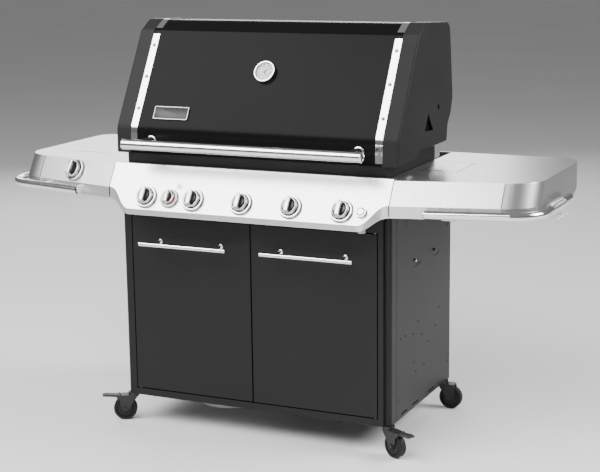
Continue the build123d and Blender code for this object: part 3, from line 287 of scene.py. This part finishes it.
dial_white = material("dial_enamel", (0.80, 0.78, 0.76), 0.4, mottle=(60, 0.03), grain=(900, 900, 900),
                      rough_spread=0.05)
# dark print on the dial, needle and knob pointers, also used as painted shade in the screw recesses and the
# gaps round the screw heads
ink_and_painted_shade = material("ink_and_painted_shade", grey(28), 0.5, mottle=(90, 0.1), grain=(900, 900, 900), rough_spread=0.05)
red_ink = material("red_ink", (0.42, 0.03, 0.03), 0.35, mottle=(90, 0.08), grain=(900, 900, 900),
                   rough_spread=0.05)
screw_steel = material("screw_steel", grey(150), 0.26, 1.0, (60, 0.08), (900, 900, 900), 0.06, 0.05)
# darker grey ring at each bezel's foot: painted shade where the bezel meets the panel
bezel_foot_shade = material("bezel_foot_shade", grey(60), 0.5, mottle=(60, 0.1), grain=(900, 900, 900), rough_spread=0.05)
# dark finish for real joints between panels and for painted shade in gaps, under the lid front and inside the
# end caps
joints_and_painted_shade = material("joint_shadow", grey(14), 0.8, mottle=(40, 0.1), grain=(900, 900, 900),
                      rough_spread=0.05,
                      specular=0.05)
# darker copy of the chrome: painted shade and dark reflection on the knob dishes and collars
painted_shade_chrome = material("painted_shade_chrome", grey(112), 0.22, 1.0, (20, 0.06), (700, 700, 700), 0.05, 0.04, 0.0001)
white_ring = material("white_ring", (0.85, 0.84, 0.83), 0.28, mottle=(60, 0.02), grain=(900, 900, 900),
                      rough_spread=0.05)
badge_face = material("badge_face", grey(46), 0.34, 0.6, (30, 0.08), BRUSH, 0.06, 0.04, 0.0001)

lens = bpy.data.materials.new("dial_lens")
lens.use_nodes = True
lens_shader = lens.node_tree.nodes["Principled BSDF"]
lens_shader.inputs["Transmission Weight"].default_value = 1.0
lens_shader.inputs["Roughness"].default_value = 0.03
lens_shader.inputs["IOR"].default_value = 1.3
lens_noise = lens.node_tree.nodes.new("ShaderNodeTexNoise")
lens_noise.inputs["Scale"].default_value = 90
lens_tint = lens.node_tree.nodes.new("ShaderNodeValToRGB")
lens_tint.color_ramp.elements[0].color = (0.93, 0.95, 0.95, 1)
lens_tint.color_ramp.elements[1].color = (1, 1, 1, 1)
lens.node_tree.links.new(lens_noise.outputs["Fac"], lens_tint.inputs["Fac"])
lens.node_tree.links.new(lens_tint.outputs["Color"], lens_shader.inputs["Base Color"])

NODE_FINISH = {
    "corner_posts": powder, "side_panels": powder, "rear_panel": powder, "bottom_panel": powder,
    "tank_pan": zinc, "front_rails": powder, "cookbox": firebox, "cooking_grates": iron,
    "heat_deflectors": heat_steel, "burner_tubes": sheet_steel, "gas_manifold": sheet_steel,
    "gas_valves": brass,
    "warming_rack": wire, "control_panel": stainless, "knob_bezels": satin_chrome, "table_left": table_top,
    "table_right": table_top, "table_ends": corner_metal, "table_insert": table_top, "towel_rails": chrome,
    "side_burner_bowl": sheet_steel, "side_burner_head": iron, "hinge_pins": sheet_steel,
    "lid_shroud": enamel, "lid_end_caps": cap_cast, "lid_trim": chrome, "lid_handle": chrome,
    "lid_handle_posts": chrome, "thermometer": satin_chrome, "door_left": powder, "door_right": powder,
    "door_handle_left": chrome, "door_handle_right": chrome, "push_button": satin_chrome,
    "side_burner_cover": table_top, "grease_tray": zinc,
}
for name, obj in NODES.items():
    finish = NODE_FINISH.get(name)
    if finish is None:
        finish = (tread if name.startswith("caster_wheel") else caster_metal if name.startswith("caster_fork")
                  else pedal if name.startswith("brake_pedal") else brass if "stem" in name else satin_chrome)
    if obj.material_slots:
        for place in obj.material_slots:
            place.material = finish
    else:
        obj.data.materials.append(finish)


# ---------------------------------------------------------------- knobs
def knob(name, radius, tall, matrix):
    """Skirted disc with a rounded grip bar across it, a dish and collar in a darker chrome that paints their
    shade and dark reflection, and a pointer line.
    """
    bm = bmesh.new()
    base, rim = KNOB_BASE, tall * KNOB_SKIRT_SHARE + 2.0
    revolve(bm, [(4.1, base), (radius - 1.6, base), (radius - 0.4, base + 0.6), (radius, base + 1.8),
                 (radius - 0.2, rim - 5.0), (radius - 0.7, rim - 2.4), (radius - 1.8, rim - 0.9),
                 (radius - 3.4, rim - 0.2),
                 (radius - 5.0, rim - 0.4), (radius - 7.0, rim - 1.4), (radius * 0.5, rim - 2.6),
                 (4.1, rim - 3.0)],
            96, hollow=True)
    width, length = radius * 0.56, radius * 1.84
    levels = [(rim - 4.2, 1.16, 1.0), (rim + 2, 1.06, 1.0), (tall - 5.0, 0.84, 0.965),
              (tall - 2.2, 0.78, 0.95),
              (tall - 0.7, 0.66, 0.92), (tall, 0.42, 0.85)]
    loft(bm, [rounded_rectangle(width * w, length * l, width * w * 0.40, z) for z, w, l in levels])
    obj = piece(f"{name}_grip", bm, satin_chrome, name, matrix, sharp=28)
    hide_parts(name)
    # dish and collar in the darker chrome: painted shade and dark reflection
    dish = bmesh.new()
    revolve(dish, [(4.3, rim - 2.8), (radius * 0.5, rim - 2.4), (radius - 7.0, rim - 1.2),
                   (radius - 5.3, rim - 0.35),
                   (radius - 5.6, rim - 1.6), (radius * 0.5, rim - 3.2), (4.3, rim - 3.6)], 96, hollow=True)
    piece(f"{name}_dish", dish, painted_shade_chrome, name, matrix)
    collar = bmesh.new()
    loft(collar, [rounded_rectangle(width * w + 0.5, length * l - 1.0, width * w * 0.40, z)
                  for z, w, l in ((rim - 1.5, 1.12, 1.0), (rim + 2, 1.06, 1.0), (tall - 6.5, 0.868, 0.97))])
    piece(f"{name}_collar", collar, painted_shade_chrome, name, matrix)
    mark = bmesh.new()
    plate(mark, 1.8, length * 0.26, 0.8, tall - 0.15, tall + 0.12, 0.1, (0, length * 0.24))
    piece(f"{name}_pointer", mark, ink_and_painted_shade, name, matrix)


for label in ["knob_1", "knob_2", "knob_3", "knob_4", "knob_5", "small_knob", "side_burner_knob"]:
    turn = JOINTS[f"{label}_turn"]
    small = label == "small_knob"
    place = facing(turn["pos_m"], turn["axis"])
    radius = SMALL_KNOB_RADIUS if small else KNOB_RADIUS
    knob(label, radius, SMALL_KNOB_HEIGHT if small else KNOB_HEIGHT, place)
    # rolled lip on the bezel cup, a dark ring of painted shade in the gap inside it and a darker ring of
    # painted shade at its foot
    inner, outer = radius + BEZEL_GAP, radius + BEZEL_GAP + BEZEL_WIDTH - 1.2
    lip = bmesh.new()
    revolve(lip, [(inner - 0.5, BEZEL_HEIGHT - 4.0), (inner - 0.5, BEZEL_HEIGHT - 0.4),
                  (inner + 0.2, BEZEL_HEIGHT + 0.5),
                  ((inner + outer) / 2, BEZEL_HEIGHT + 0.9), (outer - 0.3, BEZEL_HEIGHT + 0.3),
                  (outer + 0.25, BEZEL_HEIGHT - 0.8),
                  (outer + 0.35, BEZEL_HEIGHT - 3.0), (outer - 0.8, BEZEL_HEIGHT - 4.0)], 96, hollow=True)
    piece(f"{label}_bezel_lip", lip, white_ring if small else chrome, "root", place)
    gap_shade_ring = bmesh.new()
    revolve(gap_shade_ring, [(radius + 0.5, BEZEL_HEIGHT - 7.0), (radius + 0.5, BEZEL_HEIGHT - 5.0),
                       (inner + 0.1, BEZEL_HEIGHT - 5.0), (inner + 0.1, BEZEL_HEIGHT - 7.0)], 96, hollow=True)
    piece(f"{label}_gap_shade_ring", gap_shade_ring, joints_and_painted_shade, "root", place)
    foot = bmesh.new()
    outer = radius + BEZEL_GAP + BEZEL_WIDTH
    revolve(foot, [(outer - 0.6, 0.1), (outer + 1.4, 0.1), (outer + 1.2, 0.8), (outer + 0.3, 1.3),
                   (outer - 0.6, 1.3)], 96,
            hollow=True)
    piece(f"{label}_bezel_foot", foot, bezel_foot_shade, "root", place)
    if small:
        rim = SMALL_KNOB_HEIGHT * KNOB_SKIRT_SHARE
        accent = bmesh.new()
        revolve(accent, [(radius + 0.05, rim - 8.0), (radius + 0.35, rim - 7.6), (radius + 0.35, rim - 2.6),
                         (radius - 0.1, rim - 2.2), (radius - 0.6, rim - 5.0)], 72, hollow=True)
        piece("small_knob_accent_ring", accent, red_ink, label, place)

# ---------------------------------------------------------------- thermometer
dial_centre = centre_of("thermometer")
dial_low, dial_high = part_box("thermometer")
dial_radius = (dial_high.x - dial_low.x) / 2 / MM
dial_place = facing(dial_centre, SLOPE_NORMAL)
DIAL_HALF_DEPTH = 6.0
face_radius = dial_radius - 5.0
bezel = bmesh.new()
revolve(bezel, [(face_radius - 0.6, DIAL_HALF_DEPTH - 3.0), (face_radius - 0.4, DIAL_HALF_DEPTH + 0.6),
                (face_radius + 0.8, DIAL_HALF_DEPTH + 1.8),
                (dial_radius - 1.2, DIAL_HALF_DEPTH + 1.8), (dial_radius + 0.3, DIAL_HALF_DEPTH + 0.6),
                (dial_radius + 0.5, DIAL_HALF_DEPTH - 2.4),
                (dial_radius - 0.2, DIAL_HALF_DEPTH - 3.2)], 96, hollow=True)
piece("thermometer_bezel", bezel, chrome, "lid", dial_place)
face = bmesh.new()
revolve(face, [(0, -1.9), (face_radius - 0.2, -1.9), (face_radius - 0.2, -1.4), (face_radius - 0.8, -1.2),
               (0, -1.2)], 96)
piece("thermometer_dial", face, dial_white, "lid", dial_place)
ticks = bmesh.new()
DIAL_START, DIAL_SWEEP, DIAL_STEPS = 225.0, 270.0, 35
for k in range(DIAL_STEPS + 1):
    angle = math.radians(DIAL_START - DIAL_SWEEP * k / DIAL_STEPS)
    major = k % 5 == 0
    inner, outer = face_radius - (6.2 if major else 4.2), face_radius - 1.6
    half = 0.45 if major else 0.22
    along = Vector((math.cos(angle), math.sin(angle), 0))
    across = Vector((-along.y, along.x, 0)) * half
    ring = [along * inner - across, along * outer - across, along * outer + across, along * inner + across]
    loft(ticks, [[(p.x, p.y, -1.22) for p in ring], [(p.x, p.y, -1.08) for p in ring]])
piece("thermometer_ticks", ticks, ink_and_painted_shade, "lid", dial_place)
for k in range(8):
    angle = math.radians(DIAL_START - DIAL_SWEEP * k / 7)
    curve = bpy.data.curves.new(f"thermometer_number_{k}", "FONT")
    curve.body = str(50 * (k + 1))
    curve.size = 4.6 * MM
    curve.align_x = curve.align_y = "CENTER"
    curve.extrude = 0.06 * MM
    text = bpy.data.objects.new(curve.name, curve)
    bpy.context.scene.collection.objects.link(text)
    bpy.context.view_layer.update()
    mesh = bpy.data.meshes.new_from_object(text.evaluated_get(bpy.context.evaluated_depsgraph_get()))
    bpy.data.objects.remove(text)
    spot = Matrix.Translation(Vector((math.cos(angle), math.sin(angle), 0)) * (face_radius - 10.0) * MM
                              + Vector((0, 0, -1.15 * MM)))
    mesh.transform(dial_place @ spot)
    mesh.materials.clear()
    mesh.materials.append(ink_and_painted_shade)
    number = bpy.data.objects.new(f"thermometer_number_{k}", mesh)
    bpy.context.scene.collection.objects.link(number)
    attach(number, "lid")
needle = bmesh.new()
revolve(needle, [(0, -1.2), (2.6, -1.2), (2.6, 0.2), (1.8, 0.7), (0, 0.8)], 32)
NEEDLE_ANGLE = math.radians(72)
tip = Vector((math.cos(NEEDLE_ANGLE), math.sin(NEEDLE_ANGLE), 0))
side = Vector((-tip.y, tip.x, 0))
hand = [-tip * 7 - side * 1.2, tip * (face_radius - 5) - side * 0.3, tip * (face_radius - 5) + side * 0.3,
        -tip * 7 + side * 1.2]
loft(needle, [[(p.x, p.y, -0.7) for p in hand], [(p.x, p.y, -0.2) for p in hand]])
piece("thermometer_needle", needle, ink_and_painted_shade, "lid", dial_place)
glass = bmesh.new()
revolve(glass, [(0, 3.4), (face_radius - 0.8, 3.4), (face_radius - 0.8, 4.6), (face_radius * 0.7, 5.4),
                (face_radius * 0.35, 5.9), (0, DIAL_HALF_DEPTH)], 96)
piece("thermometer_lens", glass, lens, "lid", dial_place)

# ---------------------------------------------------------------- blank badge plate
trim_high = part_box("lid_trim")[1]
BADGE_X, BADGE_Z, BADGE_WIDTH, BADGE_HEIGHT = -307.0, 1056.0, 128.0, 46.0
shroud_low, shroud_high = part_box("lid_shroud")
LID_FRONT_Y, LID_BEND_Z = shroud_low.y / MM + 2.0, 1007.0


def slope_point(x, z, out=0.0):
    """Point on the sloping front of the lid, in metres."""
    y = LID_FRONT_Y + (z - LID_BEND_Z) * math.tan(LID_SLOPE)
    return Vector((x, y, z)) * MM + SLOPE_NORMAL * out * MM


badge_place = facing(slope_point(BADGE_X, BADGE_Z, 3.0), SLOPE_NORMAL)
frame_ring = bmesh.new()
w, h = BADGE_WIDTH, BADGE_HEIGHT
loft(frame_ring, [rounded_rectangle(w, h, 5, 0.0), rounded_rectangle(w, h, 5, 1.6),
                  rounded_rectangle(w - 1.6, h - 1.6, 4.4, 2.2),
                  rounded_rectangle(w - 5.4, h - 5.4, 3.0, 2.2),
                  rounded_rectangle(w - 6.6, h - 6.6, 2.6, 0.8)])
piece("badge_frame", frame_ring, corner_metal, "lid", badge_place)
badge = bmesh.new()
plate(badge, w - 7.4, h - 7.4, 2.2, 0.4, 1.5, 0.4)
piece("badge_blank", badge, badge_face, "lid", badge_place)


# ---------------------------------------------------------------- screws
SCREW_RADIUS = 4.6


def screw(name, place):
    """Pan head with a cross recess and a thin gap round it, both drawn dark as painted shade, on the lid."""
    radius = SCREW_RADIUS
    bm = bmesh.new()
    revolve(bm, [(0, -0.4), (radius, -0.4), (radius, 0.5), (radius * 0.92, 1.3), (radius * 0.70, 2.0),
                 (radius * 0.42, 2.3), (0, 2.4)], 40)
    piece(name, bm, screw_steel, "lid", place)
    ring = bmesh.new()
    revolve(ring, [(radius + 0.1, -0.4), (radius + 1.2, -0.4), (radius + 1.2, -0.05), (radius + 0.1, 0.1)],
            40, hollow=True)
    piece(f"{name}_shadow_gap", ring, ink_and_painted_shade, "lid", place)
    # dark cross plate: painted shade of the cross recess
    cross = bmesh.new()
    for a, b in ((radius * 0.95, radius * 0.24), (radius * 0.24, radius * 0.95)):
        plate(cross, a, b, radius * 0.08, 2.05, 2.5, 0.06)
    piece(f"{name}_recess", cross, ink_and_painted_shade, "lid", place)


TRIM_CENTRE_X = (trim_high.x / MM) - 12.0
TRIM_PROUD = 2.0
SCREW_LIFT = 1.2                    # screw seat above the trim strip
SCREWS_ALONG_SLOPE = (70, 185, 300)
LOW_SCREW_Z = 962
for side_name, sx in (("left", -1), ("right", 1)):
    for k, along in enumerate(SCREWS_ALONG_SLOPE):
        z = LID_BEND_Z + along * math.cos(LID_SLOPE)
        spot = slope_point(sx * TRIM_CENTRE_X, z, TRIM_PROUD + SCREW_LIFT)
        screw(f"trim_screw_{side_name}_{k}", facing(spot, SLOPE_NORMAL))
    low_spot = Vector((sx * TRIM_CENTRE_X, shroud_low.y / MM - TRIM_PROUD - SCREW_LIFT, LOW_SCREW_Z)) * MM
    screw(f"trim_screw_{side_name}_low", facing(low_spot, (0, -1, 0)))

# ---------------------------------------------------------------- lid handle ends and rosettes
handle_low, handle_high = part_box("lid_handle")
handle_mid = (handle_low + handle_high) / 2
post_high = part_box("lid_handle_posts")[1]
post_x = post_high.x / MM - 15.0
for side_name, sx in (("left", -1), ("right", 1)):
    end = Vector((sx * handle_high.x, handle_mid.y, handle_mid.z))
    cap = bmesh.new()
    revolve(cap, [(0, -1.2), (9.5, -1.2), (11.6, 0.0), (12.4, 1.6), (14.0, 2.2), (16.2, 1.6), (17.3, -0.4),
                  (17.3, -3.6), (16.6, -4.0), (0, -4.0)], 64)
    piece(f"handle_cap_{side_name}", cap, chrome, "lid", facing(end, (sx, 0, 0)))
    plug = bmesh.new()
    revolve(plug, [(0, -1.1), (9.2, -1.1), (8.6, -0.3), (3.5, 0.0), (0, 0.0)], 48)
    piece(f"handle_plug_{side_name}", plug, black_gloss, "lid", facing(end, (sx, 0, 0)))
    rosette = bmesh.new()
    revolve(rosette, [(15.2, 0.2), (18.6, 0.2), (19.0, 1.4), (18.4, 3.2), (17.0, 4.6), (15.2, 5.2)], 64,
            hollow=True)
    spot = Vector((sx * post_x * MM, shroud_low.y, handle_mid.z))
    piece(f"handle_rosette_{side_name}", rosette, chrome, "lid", facing(spot, (0, -1, 0)))

for side_name, sx in (("left", -1), ("right", 1)):
    low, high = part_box(f"door_handle_{side_name}")
    bar_y = low.y / MM + DOOR_HANDLE_RADIUS
    bar_z = (low.z + high.z) / 2 / MM
    for end_name, x, ex in (("inner", low.x if sx > 0 else high.x, -sx),
                            ("outer", high.x if sx > 0 else low.x, sx)):
        cap = bmesh.new()
        revolve(cap, [(0, 0.6), (4.8, 0.6), (6.2, 0.2), (7.3, -1.0), (7.3, -2.8), (7.0, -3.2), (0, -3.2)], 48)
        piece(f"door_handle_cap_{side_name}_{end_name}", cap, chrome, f"{side_name}_door",
              facing(Vector((x, bar_y * MM, bar_z * MM)), (ex, 0, 0)))
    middle = (low.x + high.x) / 2 / MM
    for k, dx in enumerate((-DOOR_HANDLE_FOOT_X, DOOR_HANDLE_FOOT_X)):
        foot = bmesh.new()
        revolve(foot, [(4.6, 0), (9.0, 0), (9.2, 1.2), (8.4, 2.6), (6.4, 3.6), (4.6, 4.0)], 40, hollow=True)
        piece(f"door_handle_foot_{side_name}_{k}", foot, chrome, f"{side_name}_door",
              facing(Vector((middle + dx, high.y / MM, bar_z)) * MM, (0, -1, 0)))

# ---------------------------------------------------------------- igniter button face
push = JOINTS["button_push"]
button_low, button_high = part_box("push_button")
button_mid = (button_low + button_high) / 2
out = -Vector(push["axis"])
button_place = facing(button_mid + out * 6.2 * MM, out)
for k, (inner, outer) in enumerate(((2.2, 3.6), (6.2, 7.6))):
    ring = bmesh.new()
    revolve(ring, [(inner, 6.6), (inner + 0.3, 7.3), (outer - 0.3, 7.3), (outer, 6.6)], 48, hollow=True)
    piece(f"button_ring_{k}", ring, chrome, "push_button", button_place)

# ---------------------------------------------------------------- side panel studs
SIDE_PANEL_FACE_X = 482
STUD_PLACES = ((-33, 594), (150, 592))
for side_name, sx in (("left", -1), ("right", 1)):
    for k, (y, z) in enumerate(STUD_PLACES):
        bm = bmesh.new()
        revolve(bm, [(0, -0.2), (4.6, -0.2), (4.8, 1.4), (3.8, 2.6), (2.0, 3.2), (0, 3.4)], 32)
        spot = Vector((sx * SIDE_PANEL_FACE_X, y, z)) * MM
        piece(f"panel_stud_{side_name}_{k}", bm, chrome if k == 0 else black_gloss, "root",
              facing(spot, (sx, 0, 0)))

# ---------------------------------------------------------------- seams, gaskets and small hardware
panel_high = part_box("control_panel")[1]
PANEL_END_X = panel_high.x / MM
PANEL_TOP = (panel_high.y / MM - 20.0, panel_high.z / MM)
PANEL_RUN = 84.0 / 135.0            # how far the sloping front runs forward for each mm down
TABLE_SWEEP = 0.237                 # how far a table's front runs back for each mm out
SEAM_PROUD, SEAM_DEPTH = 0.3, 1.0
PANEL_SEAM_WIDTH, CORNER_SEAM_WIDTH = 3.0, 2.4
TABLE_TOP_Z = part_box("table_right")[1].z / MM
TABLE_LIP_Z = TABLE_TOP_Z - 71.0
TABLE_BOTTOM_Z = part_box("table_right")[0].z / MM


def face_y(x, z):
    """Y of the sloping front of the panel or of a table, above its upright skirt."""
    swept = max(0.0, abs(x) - PANEL_END_X) * TABLE_SWEEP
    return PANEL_TOP[0] + swept - (PANEL_TOP[1] - max(z, TABLE_LIP_Z)) * PANEL_RUN


def ribbon(name, path, width, normals):
    """Thin dark strip laid along a path, width across it, its face just proud of the surface."""
    bm = bmesh.new()
    rings = []
    for i, p in enumerate(path):
        ahead = (Vector(path[min(i + 1, len(path) - 1)]) - Vector(path[max(i - 1, 0)])).normalized()
        out = Vector(normals[i]).normalized()
        across = ahead.cross(out).normalized() * width / 2
        p = Vector(p)
        rings.append([tuple(q) for q in (p - across - out * SEAM_DEPTH, p + across - out * SEAM_DEPTH,
                                         p + across + out * SEAM_PROUD, p - across + out * SEAM_PROUD)])
    loft(bm, rings)
    piece(name, bm, joints_and_painted_shade, "root")


for side_name, sx in (("left", -1), ("right", 1)):
    seam_x = sx * (PANEL_END_X + 1.0)
    out_slope, out_front = (0, -1, PANEL_RUN), (0, -1, 0)
    # dark joint between the control panel and the side table
    ribbon(f"panel_seam_{side_name}",
           [(seam_x, face_y(seam_x, z), z) for z in (TABLE_TOP_Z, TABLE_LIP_Z + 1)]
           + [(seam_x, face_y(seam_x, TABLE_LIP_Z), z) for z in (TABLE_LIP_Z - 1, TABLE_BOTTOM_Z + 6)],
           PANEL_SEAM_WIDTH, [out_slope, out_slope, out_front, out_front])
    # dark joint between the sloping front of the table and its corner cover
    cover_x = sx * (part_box("table_ends")[1].x / MM - 95.0)
    ribbon(f"corner_seam_{side_name}",
           [(cover_x, face_y(cover_x, z), z) for z in (TABLE_TOP_Z - 2, TABLE_LIP_Z + 1)],
           CORNER_SEAM_WIDTH, [out_slope, out_slope])

# dark strip of painted shade that closes the gap under the front edge of the lid
lip = bmesh.new()
LID_HALF = shroud_high.x / MM
lid_low_z = shroud_low.z / MM
lid_front = shroud_low.y / MM
block(lip, (-LID_HALF + 6, lid_front + 2.7, lid_low_z - 3.2),
      (LID_HALF - 6, lid_front + 6.2, lid_low_z + 6.0), 0.6)
piece("lid_gap_shade", lip, joints_and_painted_shade, "lid")

# dark plates of painted shade behind the two openings in each end cap
cap_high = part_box("lid_end_caps")[1]
for side_name, sx in (("left", -1), ("right", 1)):
    shade_plate = bmesh.new()
    x_in, x_out = sorted((sx * (cap_high.x / MM - 12.0), sx * (cap_high.x / MM - 10.0)))
    block(shade_plate, (x_in, -14, lid_low_z + 64), (x_out, 100, lid_low_z + 150), 0.6)
    piece(f"cap_shade_plate_{side_name}", shade_plate, joints_and_painted_shade, "lid")

# shadow gap round the accessory hatch of the right table, and painted shade in its finger notch
hatch_low, hatch_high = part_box("table_insert")
hx0, hx1, hy0, hy1 = hatch_low.x / MM, hatch_high.x / MM, hatch_low.y / MM, hatch_high.y / MM
top_z = TABLE_TOP_Z + 0.05
gap = bmesh.new()
for low, high in (((hx0 - 1.6, hy0 - 1.8), (hx1 + 1.6, hy0 - 0.1)),
                  ((hx0 - 1.6, hy1 + 0.1), (hx1 + 1.6, hy1 + 1.8)),
                  ((hx0 - 1.8, hy0 - 1.6), (hx0 - 0.1, hy1 + 1.6)),
                  ((hx1 + 0.1, hy0 - 1.6), (hx1 + 3.0, hy1 + 1.6))):
    block(gap, (*low, top_z - 1.0), (*high, top_z + 0.1), 0.05)
piece("hatch_gap", gap, joints_and_painted_shade, "root")
notch = bmesh.new()
plate(notch, 34, 7, 3.2, top_z - 1.0, top_z + 0.25, 0.1, ((hx0 + hx1) / 2 - 12, hy0 + 18))
piece("hatch_notch", notch, joints_and_painted_shade, "root")

# hanging points under the front of the right table
HANGER_XS = (540.0, 660.0)
for k, x in enumerate(HANGER_XS):
    tab = bmesh.new()
    y = face_y(x, TABLE_LIP_Z) + 16.0
    plate(tab, 40, 22, 3, TABLE_BOTTOM_Z - 7.0, TABLE_BOTTOM_Z - 1.5, 0.6, (x, y + 12))
    piece(f"hanger_tab_{k}", tab, satin_chrome if k else caster_metal, "root")
    pin = bmesh.new()
    pipe(pin, [(x - 4, y + 12, TABLE_BOTTOM_Z - 2), (x - 4, y + 12, TABLE_BOTTOM_Z - 20),
               (x - 3.4, y + 12, TABLE_BOTTOM_Z - 26)],
         1.5, 16)
    piece(f"hanger_pin_{k}", pin, caster_metal, "root")

# generic flame mark above the small knob
FLAME_OFFSET = Vector((22, 43, 0))   # from the knob's axis, along the panel and up it
FLAME_POINTS, FLAME_RADIUS = 36, 3.2
FLAMES = ((0.0, 1.7), (10.4, 1.22))   # shift along the panel and scale of each drop
flame_turn = JOINTS["small_knob_turn"]
flame_place = facing(flame_turn["pos_m"], flame_turn["axis"]) @ Matrix.Translation(FLAME_OFFSET * MM)
flame = bmesh.new()
for shift, size in FLAMES:
    ring = []
    for i in range(FLAME_POINTS):
        a = 2 * math.pi * i / FLAME_POINTS
        r = FLAME_RADIUS * size * (1 + 0.55 * max(0.0, math.sin(a)) ** 3)
        ring.append((shift + r * math.cos(a) * (1 - 0.35 * max(0.0, math.sin(a))), r * math.sin(a) * 1.25,
                     0.0))
    hole = [(shift + (x - shift) * 0.55, y * 0.55, z) for x, y, z in ring]
    made = [[flame.verts.new((point[0], point[1], level)) for point in points] for points, level in
            ((ring, -0.3), (ring, 0.35), (hole, 0.35), (hole, -0.3))]
    made.append(made[0])
    for low, high in zip(made, made[1:]):
        for i in range(FLAME_POINTS):
            j = (i + 1) % FLAME_POINTS
            flame.faces.new((low[i], low[j], high[j], high[i]))
piece("ignition_mark", flame, red_ink, "root", flame_place)

# axle nuts and bearing collars on the casters
for corner in ("front_left", "front_right", "rear_left", "rear_right"):
    spin = JOINTS[f"{corner}_wheel_spin"]
    axis, hub = Vector(spin["axis"]).normalized(), Vector(spin["pos_m"])
    for k, sign in enumerate((-1, 1)):
        nut = bmesh.new()
        loft(nut, [circle(6.4, 16.9, 6), circle(6.4, 19.6, 6), circle(5.2, 20.8, 6)])
        piece(f"axle_nut_{corner}_{k}", nut, satin_chrome, f"caster_fork_{corner}",
              facing(hub, axis * sign))
        disc = bmesh.new()
        revolve(disc, [(9.0, 11.2), (9.0, 12.6), (22.0, 12.9), (25.0, 12.4), (27.5, 11.2)], 64, hollow=True)
        piece(f"wheel_face_{corner}_{k}", disc, tread, f"caster_wheel_{corner}",
              facing(hub, axis * sign))

# turned plugs that close the inner ends of the towel rails
END_RING_DEPTH, PLUG_INSET = 4 * MM, 0.5 * MM
rail_points = [NODES["towel_rails"].matrix_world @ v.co for v in NODES["towel_rails"].data.vertices]
for side_name, side in (("left", -1), ("right", 1)):
    inner_end = min(v.x * side for v in rail_points if v.x * side > 0)
    ring = [v for v in rail_points if 0 < v.x * side < inner_end + END_RING_DEPTH]
    middle = Vector((side * (inner_end + PLUG_INSET), (min(v.y for v in ring) + max(v.y for v in ring)) / 2,
                     (min(v.z for v in ring) + max(v.z for v in ring)) / 2))
    plug = bmesh.new()
    loft(plug, [circle(RAIL_RADIUS - 1.8, -6.0), circle(RAIL_RADIUS - 1.8, 0.4),
                circle(RAIL_RADIUS - 0.3, 0.9),
                circle(RAIL_RADIUS - 0.3, 1.8), circle(RAIL_RADIUS - 1.2, 2.5)])
    piece(f"rail_plug_{side_name}", plug, chrome, "root",
          facing(middle, Vector((-side, 0, 0))))

# ---------------------------------------------------------------- stage, camera and lights
FLOOR_HALF_SIZE = 70.0
WORLD_STRENGTH = 0.26
floor_mesh = bmesh.new()
bmesh.ops.create_grid(floor_mesh, x_segments=8, y_segments=8, size=FLOOR_HALF_SIZE)
floor_data = bpy.data.meshes.new("floor")
floor_mesh.to_mesh(floor_data)
floor_mesh.free()
floor = bpy.data.objects.new("floor", floor_data)
floor_finish = material("floor_paint", grey(232), 0.75, mottle=(0.8, 0.02), grain=(40, 40, 40),
                        rough_spread=0.05, bump=0.02)
floor_data.materials.append(floor_finish)
bpy.context.scene.collection.objects.link(floor)

world = bpy.data.worlds.new("studio")
bpy.context.scene.world = world
world.use_nodes = True
backdrop = world.node_tree.nodes["Background"]
backdrop.inputs["Strength"].default_value = WORLD_STRENGTH
sky_place = world.node_tree.nodes.new("ShaderNodeTexCoord")
sky_split = world.node_tree.nodes.new("ShaderNodeSeparateXYZ")
sky_ramp = world.node_tree.nodes.new("ShaderNodeValToRGB")
sky_ramp.color_ramp.elements[0].position = 0.0
sky_ramp.color_ramp.elements[0].color = (0.55, 0.55, 0.56, 1)
sky_ramp.color_ramp.elements[1].position = 0.8
sky_ramp.color_ramp.elements[1].color = (1, 1, 1, 1)
world.node_tree.links.new(sky_place.outputs["Generated"], sky_split.inputs["Vector"])
world.node_tree.links.new(sky_split.outputs["Z"], sky_ramp.inputs["Fac"])
world.node_tree.links.new(sky_ramp.outputs["Color"], backdrop.inputs["Color"])


def softbox(name, place, target, size, power):
    """Rectangular studio light at place, aimed at target; metres and watts."""
    data = bpy.data.lights.new(name, "AREA")
    data.shape = "RECTANGLE"
    data.size, data.size_y = size
    data.energy = power
    obj = bpy.data.objects.new(name, data)
    obj.location = place
    obj.rotation_euler = (Vector(target) - Vector(place)).to_track_quat("-Z", "Y").to_euler()
    bpy.context.scene.collection.objects.link(obj)


softbox("key_softbox", (-1.3, -2.7, 3.6), (0, -0.2, 0.8), (5.4, 2.6), 400)
softbox("side_softbox", (3.6, 0.9, 2.9), (0.4, 0, 1.3), (2.0, 1.8), 225)
softbox("fill_softbox", (0.8, -4.6, 0.9), (0, 0, 0.6), (2.4, 1.6), 26)
softbox("rear_softbox", (-2.7, 4.2, 2.5), (-0.2, 0.2, 0.9), (4.6, 1.9), 110)

CAMERA_PLACE = (2.0777, -4.4001, 1.6419)
CAMERA_LENS, SENSOR_WIDTH = 88.52, 36.0
YAW, PITCH, ROLL = math.radians(24.66), math.radians(11.75), math.radians(-0.695)
ahead = Vector((-math.sin(YAW) * math.cos(PITCH), math.cos(YAW) * math.cos(PITCH), -math.sin(PITCH)))
right = Vector((math.cos(YAW), math.sin(YAW), 0))
up = right.cross(ahead)
right_rolled = math.cos(ROLL) * right + math.sin(ROLL) * up
up_rolled = -math.sin(ROLL) * right + math.cos(ROLL) * up
camera_data = bpy.data.cameras.new("camera")
camera_data.lens = CAMERA_LENS
camera_data.sensor_width = SENSOR_WIDTH
camera = bpy.data.objects.new("camera", camera_data)
camera_matrix = Matrix((right_rolled, up_rolled, -ahead)).transposed().to_4x4()
camera_matrix.translation = Vector(CAMERA_PLACE)
camera.matrix_world = camera_matrix
bpy.context.scene.collection.objects.link(camera)
bpy.context.scene.camera = camera
